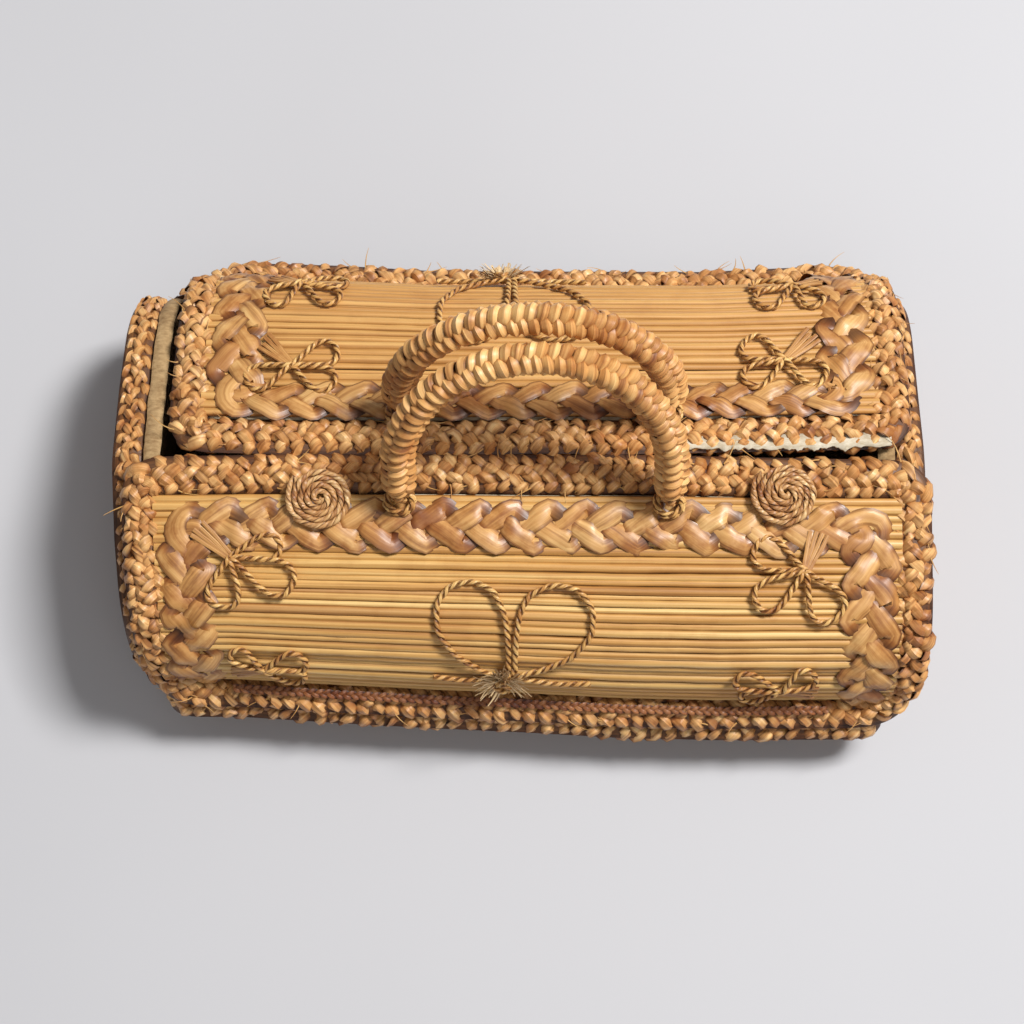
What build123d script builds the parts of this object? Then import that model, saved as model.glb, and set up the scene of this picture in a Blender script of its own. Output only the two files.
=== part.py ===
"""Plaited straw handbag: a rounded case with a fixed front cover, a hinged back cover and two
bow handles.

X runs along the length, -Y is the front, +Z is up. The origin is on the table, under the mouth.
Three bent panels (front, back and bottom) close on two flat end pieces, and a plaited rim is sewn
round each of the five. Lengths are in millimetres and angles in degrees.
"""

from build123d import *
import os
from math import asin, cos, degrees, pi, radians, sin, tan

os.makedirs("parts", exist_ok=True)

FRONT, BACK = -1, 1
LEFT, RIGHT = -1, 1

# --- Layers, from the inside outwards -------------------------------------------------------
lining_thick = 0.8
board_thick = 1.2
straw_dia = 2.9
straw_gap = 0.1
border_thick = 1.6
cord_thick = 1.5

# --- Side profile of the case ---------------------------------------------------------------
cover_slope = 12.0  # fall of the flat part, from the mouth outwards
shoulder_y = 34.5  # centre of the rounded shoulder, from the mouth
inner_radius = 29.5  # shoulder radius at the lining's inner face
tray_depth = 20.7  # table to the bottom panel's rim
tray_skin = 2.6
rim_brim_thick = 5.0  # thickness of the rims that stand out along the long sides
hinge_gap = 0.3  # between the rims of the covers and of the bottom panel
cover_brim = 12.5  # how far a cover's lower rim stands out
tray_brim_front = 15.5
brim_round = 2.0
mouth_gap = 0.6  # half of the slit between the covers

# --- Lengths along X ------------------------------------------------------------------------
end_outside = 124.0  # outer face of each end rim
end_rim_wide = 11.0
end_rim_thick = 5.0
end_board_thick = 2.0
front_left_inset, front_right_inset = 4.0, 0.0  # covers' edges inside the end rims' outer faces
back_left_inset, back_right_inset = 17.0, 5.0
tray_inset = 3.0
seat_clear = 0.3  # covers over the end rims

# --- Rims and borders in plan ---------------------------------------------------------------
rim_wide = 12.0
corner_round = 14.0
corner_start = 0.5  # the corners' rounding starts this far outside the brims
trim = 1.0  # raw layers run this far past the outline that trims them
inside_round = 6.0
front_border_gap, front_border_wide = 3.0, 16.0  # from the mouth's rim, and across
back_border_gap, back_border_wide = 0.6, 10.4
border_column = 17.0

# --- Handles --------------------------------------------------------------------------------
handle_x = 3.5
handle_radius = 40.5  # centre line of the bow
rope_radius = 5.5
core_radius = 2.5
foot_length = 7.5  # where a handle has its full thickness
foot_radius = 2.2
foot_ball = 2.6
pivot_height = 3.2  # above the rims' outer face
foot_ring_radius, foot_ring_bore, foot_ring_thick = 4.4, 3.1, 0.8
front_foot_y, front_lean, front_leg = 15.5, 30.0, 14.5
back_foot_y, back_leg = 12.6, 8.2
bow_clear = 1.1  # between the two bows where they come closest

# --- Ornaments ------------------------------------------------------------------------------
rosette_radius, rosette_thick = 10.5, 3.2
left_rosette_in, left_rosette_y = 30.0, 14.5  # inside the border's column, and from the mouth
right_rosette_in, right_rosette_y = 16.0, 12.0
heart_x = -2.5
heart_loop_long, heart_loop_wide = 22.0, 21.0
heart_y = 50.0
heart_apart = 12.0  # half the distance between the loops' centres
knot_angle, knot_radius, knot_thick = 66.0, 4.5, 3.0
petals_in_drop = 2.2  # drop of the front straws below the border's row, in petals
petal_slimness = 1.875  # a petal's length in widths
front_flower_left_in, front_flower_right_in = 7.0, 13.0  # inside the border's columns
back_flower_left_in, back_flower_right_in = 8.0, 10.0
wall_flower_left_in, wall_flower_right_in = 17.0, 16.0
back_flower_extra = 1.0  # lower below the border's row than the front ones
flower_spin = 20.0
wall_flower_rise = 5.0  # above the covers' lower rims
hem_wide, hem_thick = 4.4, 1.6
hinge_cord_radius = 0.7

# --- Worked out from the above --------------------------------------------------------------
board_radius = inner_radius + lining_thick
straw_radius = board_radius + board_thick
straw_top = straw_radius + straw_dia
border_top = straw_top + border_thick
rim_top = border_top
tray_wall = lining_thick + board_thick + tray_skin
wall_y = shoulder_y + inner_radius
tray_inner_radius = tray_depth - tray_wall
tray_centre_y = wall_y - tray_inner_radius
tray_rim_top = tray_depth + rim_brim_thick
cover_rim_low = tray_rim_top + hinge_gap
shoulder_z = cover_rim_low + rim_brim_thick
hinge_y = wall_y + cover_brim + hinge_gap / 3
hinge_z = tray_rim_top + hinge_gap / 2
tall = 2 * (shoulder_z + rim_top)
slope_sin, slope_cos = sin(radians(cover_slope)), cos(radians(cover_slope))
slope_tan = tan(radians(cover_slope))
front_left, front_right = front_left_inset - end_outside, end_outside - front_right_inset
back_left, back_right = back_left_inset - end_outside, end_outside - back_right_inset
tray_half = end_outside - tray_inset
column_in = rim_wide + border_column
front_field_left, front_field_right = front_left + column_in, front_right - column_in
back_field_left, back_field_right = back_left + column_in, back_right - column_in
front_border_start = rim_wide + front_border_gap
back_border_start = rim_wide + back_border_gap
front_row_end = front_border_start + front_border_wide
petal_long = (wall_y - front_row_end) / petals_in_drop
petal_wide = petal_long / petal_slimness
front_flower_y = front_row_end + petal_long
back_flower_y = back_border_start + back_border_wide + petal_long + back_flower_extra
rosette_places = {
    "left": (front_field_left + left_rosette_in, left_rosette_y),
    "right": (front_field_right - right_rosette_in, right_rosette_y),
}
pivot_shift = pivot_height * slope_sin
front_peak_y = (front_leg + handle_radius) * sin(radians(front_lean)) - front_foot_y - pivot_shift
back_peak_y = front_peak_y + 2 * rope_radius + bow_clear
back_reach = back_peak_y - back_foot_y - pivot_shift
back_lean = degrees(asin(back_reach / (back_leg + handle_radius)))


def tangent_point(radius):
    """(y, z) where the flat part meets the shoulder, y counted from the mouth outwards."""
    return shoulder_y + radius * slope_sin, shoulder_z + radius * slope_cos


def flat_z(radius, y):
    """Height of the flat part of a layer at y from the mouth."""
    tangent_y, tangent_z = tangent_point(radius)
    return tangent_z + (tangent_y - y) * slope_tan


def along_cover(radius, run):
    """(y, z) on a layer after a run along it from the mouth."""
    tangent_y, tangent_z = tangent_point(radius)
    flat_run = tangent_y / slope_cos
    if run <= flat_run:
        return run * slope_cos, flat_z(radius, run * slope_cos)
    angle = radians(cover_slope) + (run - flat_run) / radius
    return shoulder_y + radius * sin(angle), shoulder_z + radius * cos(angle)


def shoulder_middle(radius):
    """A point halfway round the shoulder, for its arc."""
    angle = radians((cover_slope + 90) / 2)
    return shoulder_y + radius * sin(angle), shoulder_z + radius * cos(angle)


def sided(side, point):
    """A side-profile point on the front or the back."""
    return side * point[0], point[1]


def cover_section(side, inner, outer):
    """Face of one cover layer, from the mouth to its lower rim."""
    out_tangent, in_tangent = (tangent_point(r) for r in (outer, inner))
    out_mouth = (0, flat_z(outer, 0))
    in_mouth = (0, flat_z(inner, 0))
    out_low = (shoulder_y + outer, shoulder_z)
    in_low = (shoulder_y + inner, shoulder_z)
    with BuildLine() as outline:
        Line(sided(side, in_mouth), sided(side, out_mouth))
        Line(sided(side, out_mouth), sided(side, out_tangent))
        ThreePointArc(*(sided(side, p) for p in (out_tangent, shoulder_middle(outer), out_low)))
        Line(sided(side, out_low), sided(side, in_low))
        ThreePointArc(*(sided(side, p) for p in (in_low, shoulder_middle(inner), in_tangent)))
        Line(sided(side, in_tangent), sided(side, in_mouth))
    make_face(outline.line)


def tray_section(inner, outer):
    """Face of one layer of the bottom panel, from rim to rim."""
    with BuildLine() as outline:
        for radius in (inner, outer):
            floor = tray_depth - radius
            bend = radius * sin(pi / 4)
            Line((-tray_centre_y, floor), (tray_centre_y, floor))
            for side in (FRONT, BACK):
                ThreePointArc(
                    (side * tray_centre_y, floor),
                    (side * (tray_centre_y + bend), tray_depth - bend),
                    (side * (tray_centre_y + radius), tray_depth),
                )
        for side in (FRONT, BACK):
            low, high = tray_centre_y + inner, tray_centre_y + outer
            Line((side * low, tray_depth), (side * high, tray_depth))
    make_face(outline.line)


def end_outline(inset):
    """Face of an end piece, set in from the panels' inner faces."""
    radius = inner_radius - inset
    corner = tray_inner_radius - inset
    bend = corner * sin(pi / 4)
    with BuildLine() as outline:
        for side in (FRONT, BACK):
            tangent = tangent_point(radius)
            low = (shoulder_y + radius, shoulder_z)
            tray_low = (tray_centre_y + corner, tray_depth)
            Line((0, flat_z(radius, 0)), sided(side, tangent))
            ThreePointArc(*(sided(side, p) for p in (tangent, shoulder_middle(radius), low)))
            Line(sided(side, low), sided(side, tray_low))
            ThreePointArc(
                sided(side, tray_low),
                sided(side, (tray_centre_y + bend, tray_depth - bend)),
                sided(side, (tray_centre_y, tray_depth - corner)),
            )
        floor = tray_depth - corner
        Line((-tray_centre_y, floor), (tray_centre_y, floor))
    make_face(outline.line)


def plan(left, right, front, back, rounding):
    """Rounded rectangle in plan between two x and two y limits."""
    with Locations(((left + right) / 2, (front + back) / 2)):
        RectangleRounded(right - left, back - front, rounding)


def cover_plan(side, left, right, start, stop, rounding):
    """Rounded rectangle in plan on one cover, y counted from the mouth."""
    limits = sorted((side * start, side * stop))
    plan(left, right, limits[0], limits[1], rounding)


def brim_section(side, reach, low):
    """Face of a rim that stands out from the side wall, with rounded outer corners."""
    straight = reach - brim_round
    with Locations((side * (wall_y + straight / 2), low + rim_brim_thick / 2)):
        Rectangle(straight, rim_brim_thick)
    with Locations((side * (wall_y + straight), low + rim_brim_thick / 2)):
        Rectangle(2 * brim_round, rim_brim_thick - 2 * brim_round)
    corner_y = side * (wall_y + straight)
    with Locations((corner_y, low + brim_round), (corner_y, low + rim_brim_thick - brim_round)):
        Circle(brim_round)


def export(builder, name):
    """Label a finished piece and write it."""
    builder.part.label = name
    export_step(builder.part, f"parts/{name}.step")


def cover_plane(side, x, y, height=0.0):
    """Plane on the flat part of a cover's outer face, raised by height, with +Z outwards."""
    z = flat_z(rim_top, y) + height * slope_cos
    normal = (0, side * slope_sin, slope_cos)
    return Plane(origin=(x, side * (y + height * slope_sin), z), x_dir=(1, 0, 0), z_dir=normal)


# --- Covers: lining, board, straws, rim and border, the same way for each -------------------
covers = {
    "front": (FRONT, front_left, front_right, front_border_start, front_border_wide),
    "back": (BACK, back_left, back_right, back_border_start, back_border_wide),
}
for name, (side, left, right, border_start, border_wide) in covers.items():
    inside = (side, left + rim_wide, right - rim_wide)
    reach = wall_y + cover_brim
    past = reach + corner_round

    for layer, inner, outer in (
        ("lining", inner_radius, board_radius),
        ("board", board_radius, straw_radius),
    ):
        with BuildPart() as panel:
            with BuildSketch(Plane.YZ.offset(left)):
                cover_section(side, inner, outer)
            extrude(amount=right - left)
            with BuildSketch(Plane.XY):
                cover_plan(*inside, rim_wide, past, inside_round)
            extrude(amount=tall, mode=Mode.INTERSECT)
        export(panel, f"{name}_{layer}")

    with BuildPart() as straws:
        middle = straw_radius + straw_dia / 2
        pitch = straw_dia + straw_gap
        length = tangent_point(middle)[0] / slope_cos + middle * radians(90 - cover_slope)
        first = rim_wide / slope_cos + straw_dia
        count = int((length - first) / pitch)
        with BuildSketch(Plane.YZ.offset(left)):
            with Locations(*(sided(side, along_cover(middle, first + n * pitch)) for n in range(count))):
                Circle(straw_dia / 2)
        extrude(amount=right - left)
        with BuildSketch(Plane.XY):
            cover_plan(*inside, rim_wide, past, inside_round)
        extrude(amount=tall, mode=Mode.INTERSECT)
    export(straws, f"{name}_straws")

    with BuildPart() as rim:
        with BuildSketch(Plane.YZ.offset(left - trim)):
            cover_section(side, inner_radius, rim_top)
        extrude(amount=right - left + 2 * trim)
        with BuildSketch(Plane.XY):
            cover_plan(*inside, rim_wide, past, inside_round)
        extrude(amount=tall, mode=Mode.SUBTRACT)
        with BuildSketch(Plane.YZ.offset(left - trim)):
            brim_section(side, cover_brim, cover_rim_low)
        extrude(amount=right - left + 2 * trim)
        with BuildSketch(Plane.XY):
            cover_plan(side, left, right, mouth_gap, reach + corner_start, corner_round)
        extrude(amount=tall, mode=Mode.INTERSECT)
    export(rim, f"{name}_rim_plait")

    with BuildPart() as border:
        with BuildSketch(Plane.YZ.offset(left)):
            cover_section(side, straw_top, border_top)
        extrude(amount=right - left)
        with BuildSketch(Plane.XY):
            cover_plan(*inside, border_start, past, inside_round)
        extrude(amount=tall, mode=Mode.INTERSECT)
        with BuildSketch(Plane.XY):
            cover_plan(
                side,
                left + column_in,
                right - column_in,
                border_start + border_wide,
                past,
                inside_round,
            )
        extrude(amount=tall, mode=Mode.SUBTRACT)
    export(border, f"{name}_border_plait")

# --- Bottom panel: a shallow tray -----------------------------------------------------------
tray_layers = {
    "bottom_lining": (tray_inner_radius, tray_inner_radius + lining_thick),
    "bottom_board": (tray_inner_radius + lining_thick, tray_depth - tray_skin),
    "bottom_skin": (tray_depth - tray_skin, tray_depth),
}
for name, (inner, outer) in tray_layers.items():
    with BuildPart() as layer:
        with BuildSketch(Plane.YZ.offset(-tray_half + rim_wide)):
            tray_section(inner, outer)
        extrude(amount=2 * (tray_half - rim_wide))
    export(layer, name)

with BuildPart() as bottom_rim_plait:
    for end in (LEFT, RIGHT):
        with BuildSketch(Plane.YZ.offset(end * (tray_half + trim))):
            tray_section(tray_inner_radius, tray_depth)
        extrude(amount=-end * (rim_wide + trim))
    with BuildSketch(Plane.YZ.offset(-tray_half - trim)):
        brim_section(FRONT, tray_brim_front, tray_depth)
        brim_section(BACK, cover_brim, tray_depth)
    extrude(amount=2 * (tray_half + trim))
    with BuildSketch(Plane.XY):
        plan(
            -tray_half,
            tray_half,
            -wall_y - tray_brim_front - corner_start,
            wall_y + cover_brim + corner_start,
            corner_round,
        )
    extrude(amount=tall, both=True, mode=Mode.INTERSECT)
export(bottom_rim_plait, "bottom_rim_plait")

# --- End pieces: lining, board, straws and a rim round each ---------------------------------
end_inside = end_outside - end_rim_wide
straw_plane_x = end_inside + lining_thick + end_board_thick + straw_dia / 2
field_inset = seat_clear + end_rim_thick
for name, end in (("left", LEFT), ("right", RIGHT)):
    with BuildPart() as end_rim:
        with BuildSketch(Plane.YZ.offset(end * end_inside)):
            end_outline(seat_clear)
        extrude(amount=end * end_rim_wide)
        with BuildSketch(Plane.YZ.offset(end * end_inside)):
            end_outline(field_inset)
        extrude(amount=end * end_rim_wide, mode=Mode.SUBTRACT)
    export(end_rim, f"{name}_end_rim_plait")

    for layer, start, thick in (
        ("lining", end_inside, lining_thick),
        ("board", end_inside + lining_thick, end_board_thick),
    ):
        with BuildPart() as plate:
            with BuildSketch(Plane.YZ.offset(end * start)):
                end_outline(field_inset)
            extrude(amount=end * thick)
        export(plate, f"{name}_end_{layer}")

    with BuildPart() as end_straws:
        pitch = straw_dia + straw_gap
        top = flat_z(inner_radius, 0) - field_inset
        count = int((top - tray_wall - field_inset) / pitch)
        with BuildSketch(Plane.XZ.offset(-wall_y)):
            with Locations(*((end * straw_plane_x, top - (n + 0.8) * pitch) for n in range(count))):
                Circle(straw_dia / 2)
        extrude(amount=2 * wall_y)
        with BuildSketch(Plane.YZ.offset(end * end_inside)):
            end_outline(field_inset)
        extrude(amount=end * end_rim_wide, mode=Mode.INTERSECT)
    export(end_straws, f"{name}_end_straws")

# --- Hinge cord along the back rims ---------------------------------------------------------
with BuildPart() as hinge_cord:
    with BuildSketch(Plane.YZ.offset(back_left + corner_round)):
        with Locations((hinge_y, hinge_z)):
            Circle(hinge_cord_radius)
    extrude(amount=back_right - back_left - 2 * corner_round)
export(hinge_cord, "hinge_cord")

# --- Handles --------------------------------------------------------------------------------
for name, side, foot_y, lean, handle_leg in (
    ("front", FRONT, front_foot_y, front_lean, front_leg),
    ("back", BACK, back_foot_y, back_lean, back_leg),
):
    foot = cover_plane(side, handle_x, foot_y, pivot_height)
    upright = (0, sin(radians(lean)), cos(radians(lean)))
    bow_plane = Plane(
        origin=foot.origin,
        x_dir=(1, 0, 0),
        z_dir=(0, -cos(radians(lean)), sin(radians(lean))),
    )
    for piece, radius, bore in (("plait", rope_radius, core_radius), ("core", core_radius, 0)):
        with BuildPart() as rope:
            with BuildLine(bow_plane) as bow:
                left_leg = Line((-handle_radius, foot_length), (-handle_radius, handle_leg))
                arch = ThreePointArc(
                    (-handle_radius, handle_leg),
                    (0, handle_leg + handle_radius),
                    (handle_radius, handle_leg),
                )
                right_leg = Line((handle_radius, handle_leg), (handle_radius, foot_length))
            with BuildSketch(Plane(origin=bow.line @ 0, z_dir=bow.line % 0)):
                Circle(radius)
                if bore:
                    Circle(bore, mode=Mode.SUBTRACT)
            sweep()
            if piece == "plait":
                for hand in (LEFT, RIGHT):
                    ends = [
                        Plane(
                            origin=bow_plane.from_local_coords((hand * handle_radius, rise, 0)),
                            z_dir=upright,
                        )
                        for rise in (0, foot_length)
                    ]
                    for level, size in zip(ends, (foot_radius, rope_radius)):
                        with BuildSketch(level):
                            Circle(size)
                    loft()
                    with Locations(ends[0]):
                        Sphere(foot_ball)
        export(rope, f"{name}_handle_{piece}")

    with BuildPart() as foot_rings:
        for hand in (LEFT, RIGHT):
            with BuildSketch(cover_plane(side, handle_x + hand * handle_radius, foot_y)):
                Circle(foot_ring_radius)
                Circle(foot_ring_bore, mode=Mode.SUBTRACT)
        extrude(amount=foot_ring_thick)
    export(foot_rings, f"{name}_foot_rings")

# --- Rosettes on the front cover's mouth rim ------------------------------------------------
for name, (x, y) in rosette_places.items():
    with BuildPart() as rosette:
        with BuildSketch(cover_plane(FRONT, x, y)):
            Circle(rosette_radius)
        extrude(amount=rosette_thick)
        fillet(rosette.faces().sort_by(Axis.Z)[-1].edges(), rosette_thick / 3)
    export(rosette, f"{name}_rosette")

# --- Thin braid in the corner between the front straws and their lower rim -------------------
with BuildPart() as front_hem_plait:
    hem_y = shoulder_y + straw_top + seat_clear + hem_wide / 2
    with BuildSketch(Plane.YZ.offset(front_field_left)):
        with Locations((FRONT * hem_y, shoulder_z + hem_thick / 2)):
            Rectangle(hem_wide, hem_thick)
    extrude(amount=front_field_right - front_field_left)
    fillet(front_hem_plait.edges().filter_by(Axis.X), hem_thick / 3)
export(front_hem_plait, "front_hem_plait")


def loops(places):
    """Flat rings, one for each (x, y, turn, long, wide), in the sketch being drawn."""
    for x, y, turn, long, wide in places:
        with Locations(Location((x, y, 0), (0, 0, turn))):
            Ellipse(long / 2, wide / 2)
            Ellipse(long / 2 - cord_thick, wide / 2 - cord_thick, mode=Mode.SUBTRACT)


def flower(x, y, spin):
    """Three petals round a point, as loops() takes them."""
    away = petal_long / 2
    return [
        (
            x + away * cos(radians(spin + turn)),
            y + away * sin(radians(spin + turn)),
            spin + turn,
            petal_long,
            petal_wide,
        )
        for turn in (0, 70, -70)
    ]


# --- Corded ornaments sewn on the straws ----------------------------------------------------
front_left_x = front_field_left + front_flower_left_in
front_right_x = front_field_right - front_flower_right_in
back_left_x = back_field_left + back_flower_left_in
back_right_x = back_field_right - back_flower_right_in
flat_flowers = {
    "front_left_flower": (FRONT, front_left_x, front_flower_y, -flower_spin),
    "front_right_flower": (FRONT, front_right_x, front_flower_y, 180 + flower_spin),
    "back_left_flower": (BACK, back_left_x, back_flower_y, flower_spin),
    "back_right_flower": (BACK, back_right_x, back_flower_y, 180 - flower_spin),
}
wall_flowers = {
    "front_low_left_flower": (FRONT, front_field_left + wall_flower_left_in),
    "front_low_right_flower": (FRONT, front_field_right - wall_flower_right_in),
    "back_low_left_flower": (BACK, back_field_left + wall_flower_left_in),
    "back_low_right_flower": (BACK, back_field_right - wall_flower_right_in),
}
for name, (side, x, y, spin) in flat_flowers.items():
    with BuildPart() as ornament:
        with BuildSketch(Plane.YZ.offset(x - petal_long - trim)):
            cover_section(side, straw_top, border_top)
        extrude(amount=2 * (petal_long + trim))
        with BuildSketch(Plane.XY):
            loops(flower(x, side * y, spin))
        extrude(amount=tall, mode=Mode.INTERSECT)
    export(ornament, name)

for name, (side, x) in wall_flowers.items():
    with BuildPart() as ornament:
        with BuildSketch(Plane.YZ.offset(x - petal_long - trim)):
            cover_section(side, straw_top, border_top)
        extrude(amount=2 * (petal_long + trim))
        with BuildSketch(Plane.XZ.offset(-side * shoulder_y)):
            loops(flower(x, shoulder_z + wall_flower_rise, 90))
        extrude(amount=-side * straw_top, mode=Mode.INTERSECT)
    export(ornament, name)

for name, side in (("front", FRONT), ("back", BACK)):
    with BuildPart() as heart:
        with BuildSketch(Plane.YZ.offset(heart_x - heart_loop_long - trim)):
            cover_section(side, straw_top, border_top)
        extrude(amount=2 * (heart_loop_long + trim))
        with BuildSketch(Plane.XY):
            loops(
                (heart_x + hand * heart_apart, side * heart_y, 90, heart_loop_long, heart_loop_wide)
                for hand in (LEFT, RIGHT)
            )
        extrude(amount=tall, mode=Mode.INTERSECT)
    export(heart, f"{name}_heart_cord")

    angle = radians(knot_angle)
    knot_y = side * (shoulder_y + straw_top * sin(angle))
    with BuildPart() as knot:
        place = Plane(
            origin=(heart_x, knot_y, shoulder_z + straw_top * cos(angle)),
            x_dir=(1, 0, 0),
            z_dir=(0, side * sin(angle), cos(angle)),
        )
        with BuildSketch(place):
            Circle(knot_radius)
        extrude(amount=knot_thick)
        outward = Axis(place.origin, place.z_dir)
        fillet(knot.faces().sort_by(outward)[-1].edges(), knot_thick / 3)
    export(knot, f"{name}_heart_knot")
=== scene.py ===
"""Plaited straw handbag, dressed over its CAD frame.

X runs along the length, -Y is the front, +Z is up, and everything is in metres. Every plait, cord
and straw is laid by one family of Geometry Nodes trees along guide lines worked out from the boxes
of the CAD nodes.
"""

import logging
from dataclasses import dataclass, field
from enum import Enum
from math import cos, pi, radians, sin, tan
from typing import Any, Callable, Sequence

import bpy
import numpy as np
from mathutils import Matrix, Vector


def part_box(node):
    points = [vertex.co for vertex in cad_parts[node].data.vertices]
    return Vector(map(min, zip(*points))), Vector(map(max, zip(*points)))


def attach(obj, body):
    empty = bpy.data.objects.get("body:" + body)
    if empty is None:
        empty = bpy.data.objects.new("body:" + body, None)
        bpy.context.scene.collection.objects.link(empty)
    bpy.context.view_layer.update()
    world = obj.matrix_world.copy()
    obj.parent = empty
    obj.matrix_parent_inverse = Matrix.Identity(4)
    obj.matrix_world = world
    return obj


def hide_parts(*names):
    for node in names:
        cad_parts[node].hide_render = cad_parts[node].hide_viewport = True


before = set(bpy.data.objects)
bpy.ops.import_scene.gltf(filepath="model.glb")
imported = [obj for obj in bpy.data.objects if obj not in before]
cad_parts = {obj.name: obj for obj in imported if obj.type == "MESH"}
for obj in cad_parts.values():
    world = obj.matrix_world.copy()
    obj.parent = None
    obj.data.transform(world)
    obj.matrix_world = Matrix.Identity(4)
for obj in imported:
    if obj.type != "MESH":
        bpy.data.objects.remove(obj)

LOG = logging.getLogger("handbag")
MM = 0.001
SLOPE = radians(12.0)
FRONT, BACK = -1, 1
LEFT, RIGHT = -1, 1

Colour = tuple[float, float, float]


# --- Sizes shared by the pieces ---------------------------------------------------------------


@dataclass(frozen=True)
class Layers:
    """Thickness of each layer of the case, from the inside outwards."""

    lining: float = 0.8 * MM
    board: float = 1.2 * MM
    straw: float = 2.9 * MM
    border: float = 1.6 * MM
    rim: float = 6.5 * MM
    end_board: float = 2.0 * MM


LAYERS = Layers()


class Lay(Enum):
    """How the strands of a plait or cord lie along their guide."""

    FLAT = "flat"
    ROUND = "round"
    TWIST = "twist"
    SINGLE = "single"


@dataclass(frozen=True)
class HandShape:
    """How far the handmade case strays from its drawn shape, in plan.

    Attributes:
        front: X and pull towards the mouth of the front's lower edge there, in millimetres.
        back: X and push outwards of the back's lower edge there.
        left: Y and shift along X of the left end there.
        gape: X and how far each cover's edge stands back from the mouth there.
        reach: Distance from the mouth where front and back are meant.
        half: Distance from the middle where left is meant.
    """

    front: tuple[tuple[float, float], ...] = (
        (-124, 7.6), (-90, 7.8), (-60, 5.8), (-30, 4.0), (0, 2.6), (30, 0.8), (60, 0.0), (124, 0.4),
    )
    back: tuple[tuple[float, float], ...] = (
        (-124, 3.6), (-90, 3.6), (-60, 2.6), (-30, 0.6), (60, 0.2),
        (90, 1.8), (110, 3.6), (124, 3.8),
    )
    left: tuple[tuple[float, float], ...] = (
        (-80, 3.0), (-60, 1.6), (-45, 0.0), (-25, -2.0), (0, -3.2),
        (25, -3.2), (45, -2.4), (80, 0.0),
    )
    gape: tuple[tuple[float, float], ...] = (
        (-124, 1.4), (-100, 1.2), (-70, 0.1), (-20, 0.0), (10, 0.6), (30, 0.2), (52, 0.9),
        (80, 1.9), (105, 2.6), (124, 2.6),
    )
    reach: float = 75.0
    half: float = 124.0
    gape_fade: float = 16.0

    def moved(self, points: np.ndarray) -> np.ndarray:
        """Points of the drawn shape, moved to the handmade one.

        Args:
            points: Places in metres, one row each.

        Returns:
            The moved places.
        """
        x, y = points[:, 0] / MM, points[:, 1] / MM
        share = np.abs(y / self.reach) ** 1.5
        table = np.where(
            y < 0, np.interp(x, *zip(*self.front)), np.interp(x, *zip(*self.back))
        )
        end = np.clip(-x / self.half, 0.0, 1.0) ** 4
        back_off = (
            np.interp(x, *zip(*self.gape)) * np.tanh(y / 3.0) * np.exp(-np.abs(y) / self.gape_fade)
        )
        moved = points.copy()
        moved[:, 0] += np.interp(y, *zip(*self.left)) * end * MM
        moved[:, 1] += (table * share + back_off) * MM
        return moved


HAND_SHAPE = HandShape()


# --- Guide lines ------------------------------------------------------------------------------


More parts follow.
